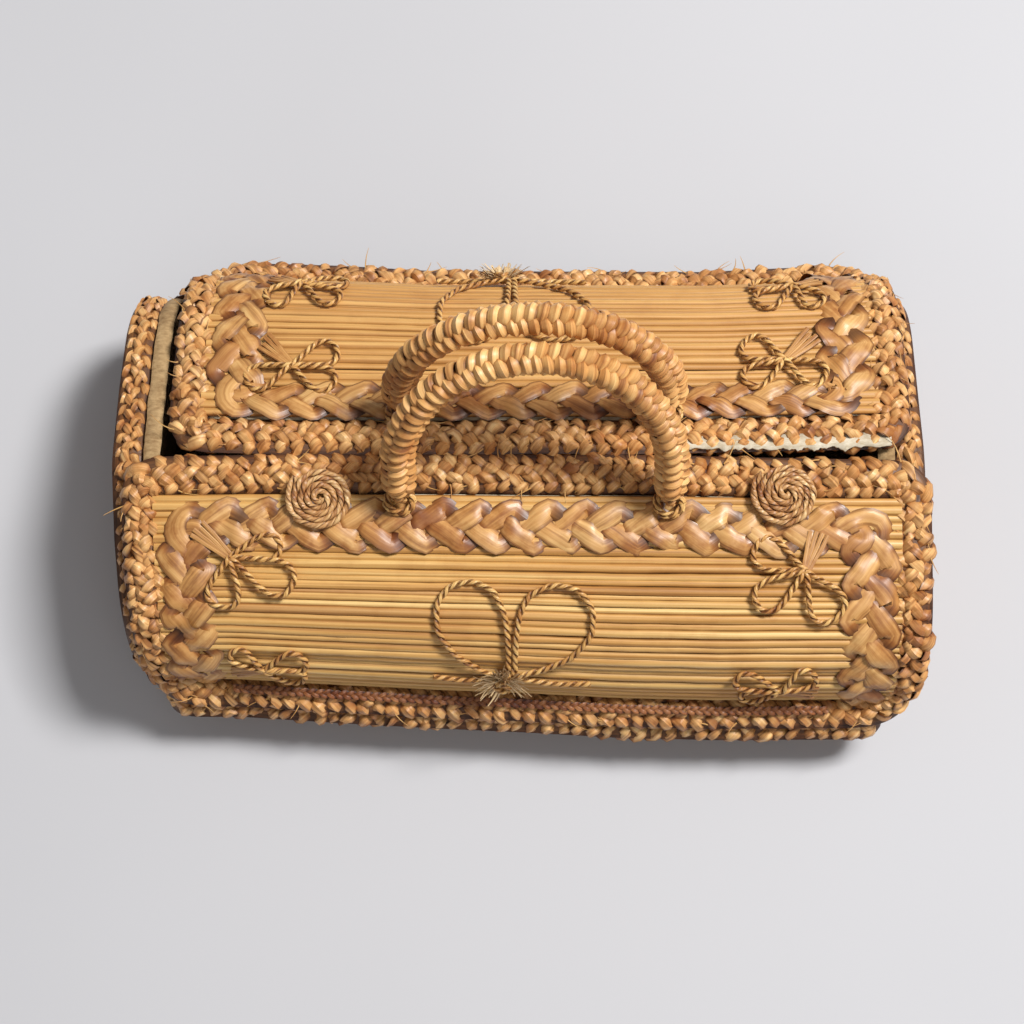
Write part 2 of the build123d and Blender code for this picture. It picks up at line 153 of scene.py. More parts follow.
@dataclass
class Guide:
    """A line that strands follow, with its outward direction and its girth at each point."""

    points: np.ndarray
    ups: np.ndarray
    girth: np.ndarray
    closed: bool = False
    strand: float = 0.0

    @classmethod
    def along(
        cls,
        points: Sequence[Sequence[float]],
        ups: Sequence[Sequence[float]],
        girth: Sequence[float] | float = 1.0,
        closed: bool = False,
        strand: float = 0.0,
    ) -> "Guide":
        """Make a guide from plain lists.

        Args:
            points: Places along the line, in metres.
            ups: Outward direction at each place.
            girth: Size at each place, as a share of the full size.
            closed: Whether the last point joins the first.
            strand: A number that tells this guide's strands from others.

        Returns:
            The guide, with its outward directions made square to it.
        """
        places = np.asarray(points, dtype=float)
        sizes = np.broadcast_to(np.asarray(girth, dtype=float), (len(places),)).copy()
        guide = cls(places, np.asarray(ups, dtype=float), sizes, closed, strand)
        guide.ups = guide.squared(guide.ups)
        return guide

    def tangents(self) -> np.ndarray:
        """Unit direction of the line at each point.

        Returns:
            A vector for each point.
        """
        if self.closed:
            steps = np.roll(self.points, -1, axis=0) - np.roll(self.points, 1, axis=0)
        else:
            steps = np.gradient(self.points, axis=0)
        return steps / np.linalg.norm(steps, axis=1, keepdims=True)

    def squared(self, ups: np.ndarray) -> np.ndarray:
        """Outward directions made square to the line and of unit length.

        Args:
            ups: Rough outward directions.

        Returns:
            A vector for each point.
        """
        along = self.tangents()
        flat = ups - along * (ups * along).sum(axis=1, keepdims=True)
        return flat / np.linalg.norm(flat, axis=1, keepdims=True)

    def length(self) -> float:
        """Length of the line.

        Returns:
            Metres.
        """
        ends = [self.points, self.points[:1]] if self.closed else [self.points]
        line = np.concatenate(ends)
        return float(np.linalg.norm(np.diff(line, axis=0), axis=1).sum())

    def softened(self, rounds: int, step: float = 1.0 * MM) -> "Guide":
        """Round the corners of the line.

        Args:
            rounds: How many times each point is averaged with its neighbours.
            step: Spacing of the points while that is done.

        Returns:
            A smoother guide.
        """
        fine = self.spaced(max(8, round(self.length() / step)))
        table = np.column_stack([fine.points, fine.ups, fine.girth])
        for _ in range(rounds):
            if self.closed:
                before, after = np.roll(table, 1, axis=0), np.roll(table, -1, axis=0)
                table = (before + 2 * table + after) / 4
            else:
                table[1:-1] = (table[:-2] + 2 * table[1:-1] + table[2:]) / 4
        return Guide.along(table[:, :3], table[:, 3:6], table[:, 6], self.closed, self.strand)

    def spaced(self, count: int) -> "Guide":
        """The same line with count equal steps.

        Args:
            count: Number of steps.

        Returns:
            The new guide.
        """
        table = np.column_stack([self.points, self.ups, self.girth])
        if self.closed:
            table = np.concatenate([table, table[:1]])
        steps = np.linalg.norm(np.diff(table[:, :3], axis=0), axis=1)
        run = np.concatenate([[0.0], np.cumsum(steps)])
        wanted = np.linspace(0.0, run[-1], count + 1)
        new = np.column_stack([np.interp(wanted, run, column) for column in table.T])
        if self.closed:
            new = new[:-1]
        return Guide.along(new[:, :3], new[:, 3:6], new[:, 6], self.closed, self.strand)


def guide_mesh(name: str, guides: Sequence[Guide]) -> bpy.types.Object:
    """Turn guides into a mesh of edges with the attributes that the trees read.

    Args:
        name: Name of the new object.
        guides: The lines.

    Returns:
        An object whose mesh holds every line.
    """
    points, edges = [], []
    names = ("up", "side", "run", "girth", "strand")
    columns: dict[str, list[np.ndarray]] = {key: [] for key in names}
    start = 0
    for guide in guides:
        count = len(guide.points)
        steps = np.linalg.norm(np.diff(guide.points, axis=0), axis=1)
        columns["run"].append(np.concatenate([[0.0], np.cumsum(steps)]))
        columns["up"].append(guide.ups)
        columns["side"].append(np.cross(guide.tangents(), guide.ups))
        columns["girth"].append(guide.girth)
        columns["strand"].append(np.full(count, guide.strand))
        points.append(HAND_SHAPE.moved(guide.points))
        edges += [(start + i, start + i + 1) for i in range(count - 1)]
        if guide.closed:
            edges.append((start + count - 1, start))
        start += count
    mesh = bpy.data.meshes.new(name)
    mesh.from_pydata(np.concatenate(points).tolist(), edges, [])
    for key, parts in columns.items():
        values = np.concatenate(parts)
        vector = values.ndim == 2
        layer = mesh.attributes.new(key, "FLOAT_VECTOR" if vector else "FLOAT", "POINT")
        layer.data.foreach_set("vector" if vector else "value", values.astype(np.float32).ravel())
    piece = bpy.data.objects.new(name, mesh)
    bpy.context.scene.collection.objects.link(piece)
    return piece


# --- Node trees -------------------------------------------------------------------------------


@dataclass
class Graph:
    """A node tree being built."""

    tree: Any

    def node(self, kind: str, inputs: dict[int | str, Any] | None = None, **settings: Any) -> Any:
        """Add a node.

        Args:
            kind: Blender's name for the type of node.
            inputs: Values or sockets for its inputs, by index or name.
            settings: The node's own properties.

        Returns:
            The node.
        """
        made = self.tree.nodes.new(kind)
        for key, value in settings.items():
            setattr(made, key, value)
        for key, value in (inputs or {}).items():
            if isinstance(value, bpy.types.NodeSocket):
                self.tree.links.new(value, made.inputs[key])
            else:
                made.inputs[key].default_value = value
        return made

    def math(self, operation: str, a: Any, b: Any = 0.0) -> Any:
        """Socket with the result of a number operation."""
        return self.node("ShaderNodeMath", {0: a, 1: b}, operation=operation).outputs[0]

    def plus(self, a: Any, b: Any) -> Any:
        """Socket with a + b."""
        return self.math("ADD", a, b)

    def times(self, a: Any, b: Any) -> Any:
        """Socket with a x b."""
        return self.math("MULTIPLY", a, b)

    def vector(self, x: Any, y: Any, z: Any) -> Any:
        """Socket with a vector made of three numbers."""
        return self.node("ShaderNodeCombineXYZ", {0: x, 1: y, 2: z}).outputs[0]

    def scaled(self, vector: Any, by: Any) -> Any:
        """Socket with a vector times a number."""
        return self.node(
            "ShaderNodeVectorMath", {0: vector, "Scale": by}, operation="SCALE"
        ).outputs[0]

    def added(self, a: Any, b: Any) -> Any:
        """Socket with the sum of two vectors."""
        return self.node("ShaderNodeVectorMath", {0: a, 1: b}, operation="ADD").outputs[0]

    def noise(self, vector: Any, scale: float, detail: float = 2.0, rough: float = 0.5) -> Any:
        """Noise node read at a vector."""
        inputs = {"Vector": vector, "Scale": scale, "Detail": detail, "Roughness": rough}
        return self.node("ShaderNodeTexNoise", inputs)


@dataclass(frozen=True)
class Plait:
    """Sizes of one plait, cord or run of straws.

    Attributes:
        strands: Number of strands, or of strands each way in a round plait.
        half_width: Reach of the strands' middles to each side, or their distance from the axis.
        depth: How far a strand rises and dips as it crosses the others.
        period: Length of one full turn of the pattern.
        wide: Width of a strand.
        thick: Thickness of a strand.
        crown: How much lower the edges are than the middle.
        sharp: 0 for round turns at the edges, 1 for folded ones.
        pinch: Share by which a strand narrows where it dips.
        jitter: How far the strands stray.
        tilt: How far they roll from side to side.
        fold: How far a strand's edges fold down from a ridge along its middle.
        sides: Faces round a strand.
        per_period: Points of a guide in each period.
        bed_wide: Width of the band under the strands, 0 for none.
        bed_thick: Thickness of that band.
        bed_drop: Distance of its middle below the guide.
    """

    strands: int = 1
    half_width: float = 0.0
    depth: float = 0.0
    period: float = 20 * MM
    wide: float = 2.9 * MM
    thick: float = 1.3 * MM
    crown: float = 0.0
    sharp: float = 0.0
    pinch: float = 0.0
    jitter: float = 0.0
    tilt: float = 0.0
    fold: float = 0.0
    sides: int = 8
    per_period: int = 32
    bed_wide: float = 0.0
    bed_thick: float = 0.0
    bed_drop: float = 0.0


class Loom:
    """Geometry Nodes tree that lays strands along guide lines in one of the lays."""

    NUMBERS = (
        "half_width",
        "depth",
        "period",
        "wide",
        "thick",
        "crown",
        "sharp",
        "pinch",
        "jitter",
        "tilt",
        "fold",
    )
    COUNTS = ("strands", "sides")
    BED = ("bed_wide", "bed_thick", "bed_drop")
    TONE_RUN = 26.0
    STRAW_TONE_RUN = 4.0
    PLUMP_RUN = 160.0
    PLUMP_ROW = 3.0
    THINNEST, THINNEST_TO_PLUMPEST = 0.8, 0.4
    STRAND_STEP = 3.7
    SHIFT_Y, SHIFT_Z, FIBRE_SHIFT = 1.7, 0.6, 0.173
    ALMOST_ONE = 0.9999
    CENTRE = (-0.5, -0.5, -0.5)
    STRAY_SCALE = 70.0
    ROLL_SCALE = 190.0
    CREASE = 0.8

    def __init__(self, lay: Lay, with_bed: bool = False) -> None:
        """Build the tree.

        Args:
            lay: How the strands lie.
            with_bed: Whether a band runs under them.
        """
        self.lay = lay
        self.with_bed = with_bed
        self.group = bpy.data.node_groups.new(f"{lay.value}_loom", "GeometryNodeTree")
        self.graph = Graph(self.group)
        self.sockets: dict[str, str] = {}
        face = self.group.interface
        face.new_socket("guides", in_out="INPUT", socket_type="NodeSocketGeometry")
        face.new_socket("woven", in_out="OUTPUT", socket_type="NodeSocketGeometry")
        for key in self.NUMBERS + (self.BED if with_bed else ()):
            self.sockets[key] = face.new_socket(
                key, in_out="INPUT", socket_type="NodeSocketFloat"
            ).identifier
        for key in self.COUNTS:
            self.sockets[key] = face.new_socket(
                key, in_out="INPUT", socket_type="NodeSocketInt"
            ).identifier
        self.sockets["seed"] = face.new_socket(
            "seed", in_out="INPUT", socket_type="NodeSocketFloat"
        ).identifier
        for key in ("finish", "bed_finish"):
            self.sockets[key] = face.new_socket(
                key, in_out="INPUT", socket_type="NodeSocketMaterial"
            ).identifier
        self.given = self.graph.node("NodeGroupInput").outputs
        self._finish_tree()

    def _read(self, name: str, kind: str = "FLOAT") -> Any:
        """Socket with a named attribute of the guide."""
        return self.graph.node(
            "GeometryNodeInputNamedAttribute", {"Name": name}, data_type=kind
        ).outputs[0]

    def _angle(self, index: Any, share: Any) -> Any:
        """Socket with a strand's angle in the pattern.

        Args:
            index: Socket with the strand's number.
            share: Number of strands in a turn.

        Returns:
            Socket with the angle in radians.
        """
        g = self.graph
        turn = g.times(g.math("DIVIDE", self._read("run"), self.given["period"]), 2 * pi)
        phase = g.times(g.math("DIVIDE", index, share), 2 * pi)
        return g.plus(turn, phase)

    def _flat(self, index: Any) -> tuple[Any, Any, Any]:
        """Flat plait: each strand swings from edge to edge, over and under in turn.

        Args:
            index: Socket with the strand's number.

        Returns:
            Sockets with the offset, the strand's outward direction and its height as -1 to 1.
        """
        g, given = self.graph, self.given
        angle = self._angle(index, given["strands"])
        smooth = g.math("SINE", angle)
        folded = g.times(g.math("ARCSINE", g.times(smooth, self.ALMOST_ONE)), 2 / pi)
        sharp = given["sharp"]
        swing = g.plus(g.times(folded, sharp), g.times(smooth, g.math("SUBTRACT", 1.0, sharp)))
        crossings = g.math("SUBTRACT", given["strands"], 1.0)
        height = g.math("SINE", g.times(angle, crossings))
        across = g.times(g.times(swing, given["half_width"]), self._read("girth"))
        dip = g.times(given["crown"], g.times(swing, swing))
        rise = g.math("SUBTRACT", g.times(given["depth"], height), dip)
        side, up = self._read("side", "FLOAT_VECTOR"), self._read("up", "FLOAT_VECTOR")
        offset = g.added(g.scaled(side, across), g.scaled(up, rise))
        lean = g.math("DIVIDE", g.times(g.times(given["crown"], 2.0), swing), given["half_width"])
        return offset, g.added(up, g.scaled(side, lean)), height

    def _round(self, index: Any) -> tuple[Any, Any, Any]:
        """Round plait: strands wind both ways and pass over and under one another.

        Args:
            index: Socket with the strand's number.

        Returns:
            Sockets with the offset, the strand's outward direction and its height as -1 to 1.
        """
        g, given = self.graph, self.given
        hand = g.math("SUBTRACT", 1.0, g.times(g.math("MODULO", index, 2.0), 2.0))
        pair = g.math("FLOOR", g.times(index, 0.5))
        turn = g.times(g.math("DIVIDE", self._read("run"), given["period"]), 2 * pi)
        phase = g.times(g.math("DIVIDE", pair, given["strands"]), 2 * pi)
        angle = g.plus(g.times(turn, hand), phase)
        height = g.times(g.math("COSINE", g.times(turn, given["strands"])), hand)
        return *self._ring(angle, height), height

    def _twist(self, index: Any) -> tuple[Any, Any, Any]:
        """Twisted cord: every strand winds the same way.

        Args:
            index: Socket with the strand's number.

        Returns:
            Sockets with the offset, the strand's outward direction and its height as -1 to 1.
        """
        return *self._ring(self._angle(index, self.given["strands"]), 0.0), 0.0

    def _ring(self, angle: Any, height: Any) -> tuple[Any, Any]:
        """Offset and outward direction at an angle round the guide.

        Args:
            angle: Socket with the angle.
            height: How far the strand stands out, -1 to 1.

        Returns:
            Sockets with the offset and the direction.
        """
        g, given = self.graph, self.given
        reach = g.plus(given["half_width"], g.times(given["depth"], height))
        reach = g.times(reach, self._read("girth"))
        side, up = self._read("side", "FLOAT_VECTOR"), self._read("up", "FLOAT_VECTOR")
        outward = g.added(
            g.scaled(side, g.math("COSINE", angle)), g.scaled(up, g.math("SINE", angle))
        )
        return g.scaled(outward, reach), outward

    def _single(self, index: Any) -> tuple[Any, Any, Any]:
        """One strand on each guide, lying on it, whatever its number."""
        return (0.0, 0.0, 0.0), self._read("up", "FLOAT_VECTOR"), 0.0

    def _finish_tree(self) -> None:
        """Lay the strands, give them their profile and join them."""
        g, given = self.graph, self.given
        lines = g.node("GeometryNodeMeshToCurve", {0: given["guides"]}).outputs[0]
        index: Any = 0.0
        curves = lines
        if self.lay is not Lay.SINGLE:
            each_way = 2.0 if self.lay is Lay.ROUND else 1.0
            amount = g.times(given["strands"], each_way)
            copies = g.node(
                "GeometryNodeDuplicateElements", {0: lines, "Amount": amount}, domain="SPLINE"
            )
            curves, index = copies.outputs[0], copies.outputs[1]
        lays: dict[Lay, Callable[[Any], tuple[Any, Any, Any]]] = {
            Lay.FLAT: self._flat,
            Lay.ROUND: self._round,
            Lay.TWIST: self._twist,
            Lay.SINGLE: self._single,
        }
        place, outward, height = lays[self.lay](index)
        own = g.plus(g.plus(g.times(index, self.STRAND_STEP), self._read("strand")), given["seed"])
        own_shift = g.vector(own, g.times(own, self.SHIFT_Y), g.times(own, self.SHIFT_Z))
        here = g.node("GeometryNodeInputPosition").outputs[0]
        stray = g.noise(g.added(g.scaled(here, self.STRAY_SCALE), own_shift), 1.0).outputs["Color"]
        stray = g.added(stray, self.CENTRE)
        roll = g.noise(g.added(g.scaled(here, self.ROLL_SCALE), own_shift), 1.0).outputs["Color"]
        roll = g.scaled(g.added(roll, self.CENTRE), given["tilt"])
        outward = g.added(outward, roll)
        stray = g.scaled(stray, given["jitter"])
        tone_run = self.STRAW_TONE_RUN if self.lay is Lay.SINGLE else self.TONE_RUN
        tone_at = g.vector(g.times(self._read("run"), tone_run), own, 0.0)
        tone = g.noise(tone_at, 1.0, 1.0).outputs[0]
        plump_at = g.vector(g.times(self._read("run"), self.PLUMP_RUN), own, self.PLUMP_ROW)
        plump = g.noise(plump_at, 1.0).outputs[0]
        fibre = g.vector(self._read("run"), height, g.times(own, self.FIBRE_SHIFT))
        curves = self._store(curves, "fibre", "FLOAT_VECTOR", fibre)
        curves = self._store(curves, "tone", "FLOAT", tone)
        narrow = g.plus(1.0, g.times(given["pinch"], height))
        plumpness = g.plus(self.THINNEST, g.times(plump, self.THINNEST_TO_PLUMPEST))
        size = g.times(g.times(self._read("girth"), narrow), plumpness)
        curves = g.node("GeometryNodeSetCurveRadius", {0: curves, "Radius": size}).outputs[0]
        curves = g.node(
            "GeometryNodeSetCurveNormal", {0: curves, "Normal": outward}, mode="FREE"
        ).outputs[0]
        curves = g.node(
            "GeometryNodeSetPosition", {0: curves, "Offset": g.added(place, stray)}
        ).outputs[0]
        mesh = self._skinned(curves, given["thick"], given["wide"], given["fold"])
        mesh = g.node("GeometryNodeRealizeInstances", {0: mesh}).outputs[0]
        mesh = g.node("GeometryNodeSetMaterial", {0: mesh, "Material": given["finish"]}).outputs[0]
        if self.with_bed:
            up = self._read("up", "FLOAT_VECTOR")
            drop = g.scaled(up, g.times(given["bed_drop"], -1.0))
            along = g.vector(self._read("run"), 0.0, 0.0)
            band = self._store(lines, "fibre", "FLOAT_VECTOR", along)
            band = self._store(band, "tone", "FLOAT", 0.5)
            band = g.node(
                "GeometryNodeSetCurveRadius", {0: band, "Radius": self._read("girth")}
            ).outputs[0]
            band = g.node(
                "GeometryNodeSetCurveNormal", {0: band, "Normal": up}, mode="FREE"
            ).outputs[0]
            band = g.node("GeometryNodeSetPosition", {0: band, "Offset": drop}).outputs[0]
            band = self._skinned(band, given["bed_thick"], given["bed_wide"], 0.0)
            band = g.node(
                "GeometryNodeSetMaterial", {0: band, "Material": given["bed_finish"]}
            ).outputs[0]
            join = g.node("GeometryNodeJoinGeometry")
            self.group.links.new(band, join.inputs[0])
            self.group.links.new(mesh, join.inputs[0])
            mesh = join.outputs[0]
        g.node("NodeGroupOutput", {0: mesh})

    def _store(self, shape: Any, name: str, kind: str, value: Any) -> Any:
        """Store an attribute on the points of a curve.

        Args:
            shape: Socket with the curve.
            name: Name of the attribute.
            kind: Its data type.
            value: Socket with its value.

        Returns:
            Socket with the curve that holds it.
        """
        return self.graph.node(
            "GeometryNodeStoreNamedAttribute",
            {0: shape, "Name": name, "Value": value},
            data_type=kind,
            domain="POINT",
        ).outputs[0]

    def _skinned(self, curves: Any, thick: Any, wide: Any, fold: Any) -> Any:
        """Give curves a flattened round profile, with its seam on the underside.

        Args:
            curves: Socket with the curves.
            thick: Size along the curves' normals.
            wide: Size across.
            fold: How far the edges fold down.

        Returns:
            Socket with the smooth mesh.
        """
        g = self.graph
        ring = g.node(
            "GeometryNodeCurvePrimitiveCircle", {"Resolution": self.given["sides"], "Radius": 1.0}
        ).outputs[0]
        around = g.node("GeometryNodeSplineParameter").outputs["Factor"]
        ring = self._store(ring, "around", "FLOAT", around)
        spot = g.node("GeometryNodeInputPosition").outputs[0]
        off_ridge = g.math("ABSOLUTE", g.node("ShaderNodeSeparateXYZ", {0: spot}).outputs[1])
        drop = g.times(g.times(g.math("DIVIDE", fold, thick), 2.0), off_ridge)
        ring = g.node(
            "GeometryNodeSetPosition", {0: ring, "Offset": g.vector(drop, 0.0, 0.0)}
        ).outputs[0]
        half = g.vector(g.times(thick, -0.5), g.times(wide, -0.5), 1.0)
        ring = g.node("GeometryNodeTransform", {0: ring, "Scale": half}).outputs[0]
        radius = g.node("GeometryNodeInputRadius").outputs[0]
        mesh = g.node(
            "GeometryNodeCurveToMesh",
            {"Curve": curves, "Profile Curve": ring, "Scale": radius, "Fill Caps": True},
        ).outputs[0]
        mesh = g.node("GeometryNodeSetShadeSmooth", {0: mesh}).outputs[0]
        angle = g.node("GeometryNodeInputMeshEdgeAngle").outputs[0]
        creased = g.math("GREATER_THAN", angle, self.CREASE)
        return g.node(
            "GeometryNodeSetShadeSmooth",
            {0: mesh, "Selection": creased, "Shade Smooth": False},
            domain="EDGE",
        ).outputs[0]

    def weave(
        self,
        name: str,
        guides: Sequence[Guide],
        plait: Plait,
        finish: bpy.types.Material,
        bed_finish: bpy.types.Material | None = None,
        seed: float = 0.0,
    ) -> bpy.types.Object:
        """Lay strands along guides and keep the result as a plain mesh.

        Args:
            name: Name of the new piece.
            guides: The lines to follow.
            plait: The sizes.
            finish: Material of the strands.
            bed_finish: Material of the band under them.
            seed: Shift of the random variation.

        Returns:
            The piece.
        """
        lines = guide_mesh(f"{name}_guides", guides)
        modifier = lines.modifiers.new("loom", "NODES")
        modifier.node_group = self.group
        for key, socket in self.sockets.items():
            if hasattr(plait, key):
                modifier[socket] = getattr(plait, key)
        modifier[self.sockets["seed"]] = seed
        modifier[self.sockets["finish"]] = finish
        modifier[self.sockets["bed_finish"]] = bed_finish or finish
        return baked(lines, name)


def baked(source: bpy.types.Object, name: str) -> bpy.types.Object:
    """Turn an object's evaluated shape into a plain mesh and drop the object.

    Args:
        source: The object with its modifiers.
        name: Name of the new piece.

    Returns:
        The piece.
    """
    bpy.context.view_layer.update()
    shape = source.evaluated_get(bpy.context.evaluated_depsgraph_get())
    mesh = bpy.data.meshes.new_from_object(shape)
    mesh.name = name
    piece = bpy.data.objects.new(name, mesh)
    bpy.context.scene.collection.objects.link(piece)
    bpy.data.objects.remove(source)
    return piece


# --- Finishes ---------------------------------------------------------------------------------


def shade(red: int, green: int, blue: int) -> Colour:
    """Linear colour from the usual 0 to 255 values."""
    values = (channel / 255 for channel in (red, green, blue))
    return tuple(v / 12.92 if v <= 0.04045 else ((v + 0.055) / 1.055) ** 2.4 for v in values)


def opaque(colour: Colour) -> tuple[float, float, float, float]:
    """A colour with full alpha."""
    return (*colour, 1.0)


@dataclass(frozen=True)
class Finish:
    """What every finish has."""

    name: str

    def _start(self) -> tuple[bpy.types.Material, Graph, Any]:
        """A new material, its graph and its shader node.

        Returns:
            The three of them.
        """
        material = bpy.data.materials.new(self.name)
        material.use_nodes = True
        tree = material.node_tree
        return material, Graph(tree), tree.nodes["Principled BSDF"]

    @staticmethod
    def _ramp(graph: Graph, factor: Any, stops: Sequence[tuple[float, Colour]]) -> Any:
        """Socket with a colour looked up along a ramp.

        Args:
            graph: The material's graph.
            factor: Socket with the place on the ramp.
            stops: Place and colour of each stop.

        Returns:
            The colour socket.
        """
        node = graph.node("ShaderNodeValToRGB", {0: factor})
        band = node.color_ramp.elements
        while len(band) < len(stops):
            band.new(0.5)
        for element, (place, colour) in zip(band, stops):
            element.position = place
            element.color = opaque(colour)
        return node.outputs[0]

    @staticmethod
    def _mixed(graph: Graph, blend: str, share: Any, a: Any, b: Any) -> Any:
        """Socket with two colours mixed.

        Args:
            graph: The material's graph.
            blend: Blender's name for the way of mixing.
            share: How much of b.
            a: First colour or socket.
            b: Second colour or socket.

        Returns:
            The colour socket.
        """
        node = graph.node(
            "ShaderNodeMix", {0: share, 6: a, 7: b}, data_type="RGBA", blend_type=blend
        )
        return node.outputs[2]


@dataclass(frozen=True)
class StrawFinish(Finish):
    """Dried straw with streaks along its fibres, with painted shade where strands dip and at their
    edges.

    Attributes:
        pale: Colour of the lightest fibres.
        mid: Usual colour.
        dark: Colour of the darkest fibres.
        streaks: Number of streaks round a straw.
        grain: How quickly the streaks change along a straw, per metre.
        gloss: Roughness of the smoothest fibres.
        dull: Roughness of the dullest.
        relief: Depth of the fibres.
        tan_shift: How far single straws differ in tone.
        grime: Weight of the dull marks.
        edge_shade: Weight of the shade along the edges.
    """

    pale: Colour
    mid: Colour
    dark: Colour
    streaks: float = 6.0
    grain: float = 90.0
    gloss: float = 0.36
    dull: float = 0.62
    relief: float = 0.25 * MM
    tan_shift: float = 0.75
    grime: float = 0.75
    edge_shade: float = 0.8

    def make(self) -> bpy.types.Material:
        """Build the material.

        Returns:
            The material.
        """
        material, g, shader = self._start()
        fibre = g.node("ShaderNodeAttribute", attribute_name="fibre").outputs["Vector"]
        around = g.node("ShaderNodeAttribute", attribute_name="around").outputs["Fac"]
        tone = g.node("ShaderNodeAttribute", attribute_name="tone").outputs["Fac"]
        parts = g.node("ShaderNodeSeparateXYZ", {0: fibre}).outputs
        run, height, own = parts[0], parts[1], g.times(parts[2], 37.0)
        long_grain = g.vector(g.times(run, self.grain), g.times(around, self.streaks), own)
        streak = g.noise(long_grain, 1.0, 3.0, 0.6).outputs["Fac"]
        fine_grain = g.vector(
            g.times(run, self.grain * 4), g.times(around, self.streaks * 3), own
        )
        fine = g.noise(fine_grain, 1.0, 2.0, 0.6).outputs["Fac"]
        fibres = g.plus(g.times(streak, 0.7), g.times(fine, 0.3))
        colour = self._ramp(g, fibres, ((0.30, self.dark), (0.47, self.mid), (0.64, self.pale)))
        tones = self._ramp(
            g,
            tone,
            (
                (0.26, shade(178, 128, 88)),
                (0.44, shade(232, 206, 172)),
                (0.56, shade(250, 240, 224)),
                (0.74, shade(255, 255, 250)),
            ),
        )
        colour = self._mixed(g, "MULTIPLY", self.tan_shift, colour, tones)
        # Painted shade: each strand darkens where it dips under the others.
        dip_shade = self._ramp(
            g,
            g.plus(g.times(height, 0.5), 0.5),
            ((0.0, shade(96, 66, 44)), (0.3, shade(190, 160, 130)), (0.5, (1.0, 1.0, 1.0))),
        )
        colour = self._mixed(g, "MULTIPLY", 0.9, colour, dip_shade)
        # Painted shade: darker towards each strand's edges, where neighbouring strands meet.
        off_top = g.times(g.math("ABSOLUTE", g.math("SUBTRACT", around, 0.5)), 4.0)
        edges = self._ramp(g, off_top, ((0.5, (1.0, 1.0, 1.0)), (1.0, shade(126, 88, 58))))
        colour = self._mixed(g, "MULTIPLY", self.edge_shade, colour, edges)
        place = g.node("ShaderNodeTexCoord").outputs["Object"]
        dull = g.noise(place, 95.0, 4.0, 0.6).outputs["Fac"]
        marks = self._ramp(g, dull, ((0.34, shade(196, 160, 126)), (0.52, (1.0, 1.0, 1.0))))
        colour = self._mixed(g, "MULTIPLY", self.grime, colour, marks)
        g.node("ShaderNodeBump", {"Height": fibres}).name = "fibres"
        bump = g.tree.nodes["fibres"]
        bump.inputs["Strength"].default_value = 0.7
        bump.inputs["Distance"].default_value = self.relief
        sheen_range = g.node(
            "ShaderNodeMapRange", {"Value": fibres, 1: 0.35, 2: 0.65, 3: self.dull, 4: self.gloss}
        )
        g.tree.links.new(colour, shader.inputs["Base Color"])
        g.tree.links.new(sheen_range.outputs[0], shader.inputs["Roughness"])
        g.tree.links.new(bump.outputs[0], shader.inputs["Normal"])
        shader.inputs["Specular IOR Level"].default_value = 0.45
        shader.inputs["Coat Weight"].default_value = 0.08
        shader.inputs["Coat Roughness"].default_value = 0.35
        return material


@dataclass(frozen=True)
class FeltFinish(Finish):
    """Matted cloth or pulp board: a fuzzy, blotchy surface with short fibres.

    Attributes:
        light: Colour of the raised fibres.
        dark: Colour between them.
        fibre_scale: Number of fibres in a metre.
        relief: Depth of the fibres.
        fuzz: Weight of the sheen.
    """

    light: Colour
    dark: Colour
    fibre_scale: float = 900.0
    relief: float = 0.3 * MM
    fuzz: float = 0.25

    def make(self) -> bpy.types.Material:
        """Build the material.

        Returns:
            The material.
        """
        material, g, shader = self._start()
        place = g.node("ShaderNodeTexCoord").outputs["Object"]
        stretched = g.node("ShaderNodeMapping", {0: place, "Scale": (0.45, 1.0, 1.0)}).outputs[0]
        hairs = g.noise(stretched, self.fibre_scale, 4.0, 0.65).outputs["Fac"]
        blotch = g.noise(place, 60.0, 3.0, 0.55).outputs["Fac"]
        blend = g.plus(g.times(hairs, 0.55), g.times(blotch, 0.45))
        colour = self._ramp(g, blend, ((0.36, self.dark), (0.62, self.light)))
        bump = g.node("ShaderNodeBump", {"Height": hairs, "Strength": 0.6, "Distance": self.relief})
        rough = g.node("ShaderNodeMapRange", {"Value": hairs, 1: 0.3, 2: 0.7, 3: 0.98, 4: 0.82})
        g.tree.links.new(colour, shader.inputs["Base Color"])
        g.tree.links.new(rough.outputs[0], shader.inputs["Roughness"])
        g.tree.links.new(bump.outputs[0], shader.inputs["Normal"])
        shader.inputs["Sheen Weight"].default_value = self.fuzz
        shader.inputs["Specular IOR Level"].default_value = 0.2
        return material


@dataclass(frozen=True)
class FloorFinish(Finish):
    """Plain pale paper floor."""

    tone: Colour

    def make(self) -> bpy.types.Material:
        """Build the material.

        Returns:
            The material.
        """
        material, g, shader = self._start()
        place = g.node("ShaderNodeTexCoord").outputs["Object"]
        cloud = g.noise(place, 3.0, 2.0).outputs["Fac"]
        paler = tuple(min(1.0, v * 1.04) for v in self.tone)
        colour = self._ramp(g, cloud, ((0.4, self.tone), (0.6, paler)))
        g.tree.links.new(colour, shader.inputs["Base Color"])
        shader.inputs["Roughness"].default_value = 0.9
        shader.inputs["Specular IOR Level"].default_value = 0.1
        return material


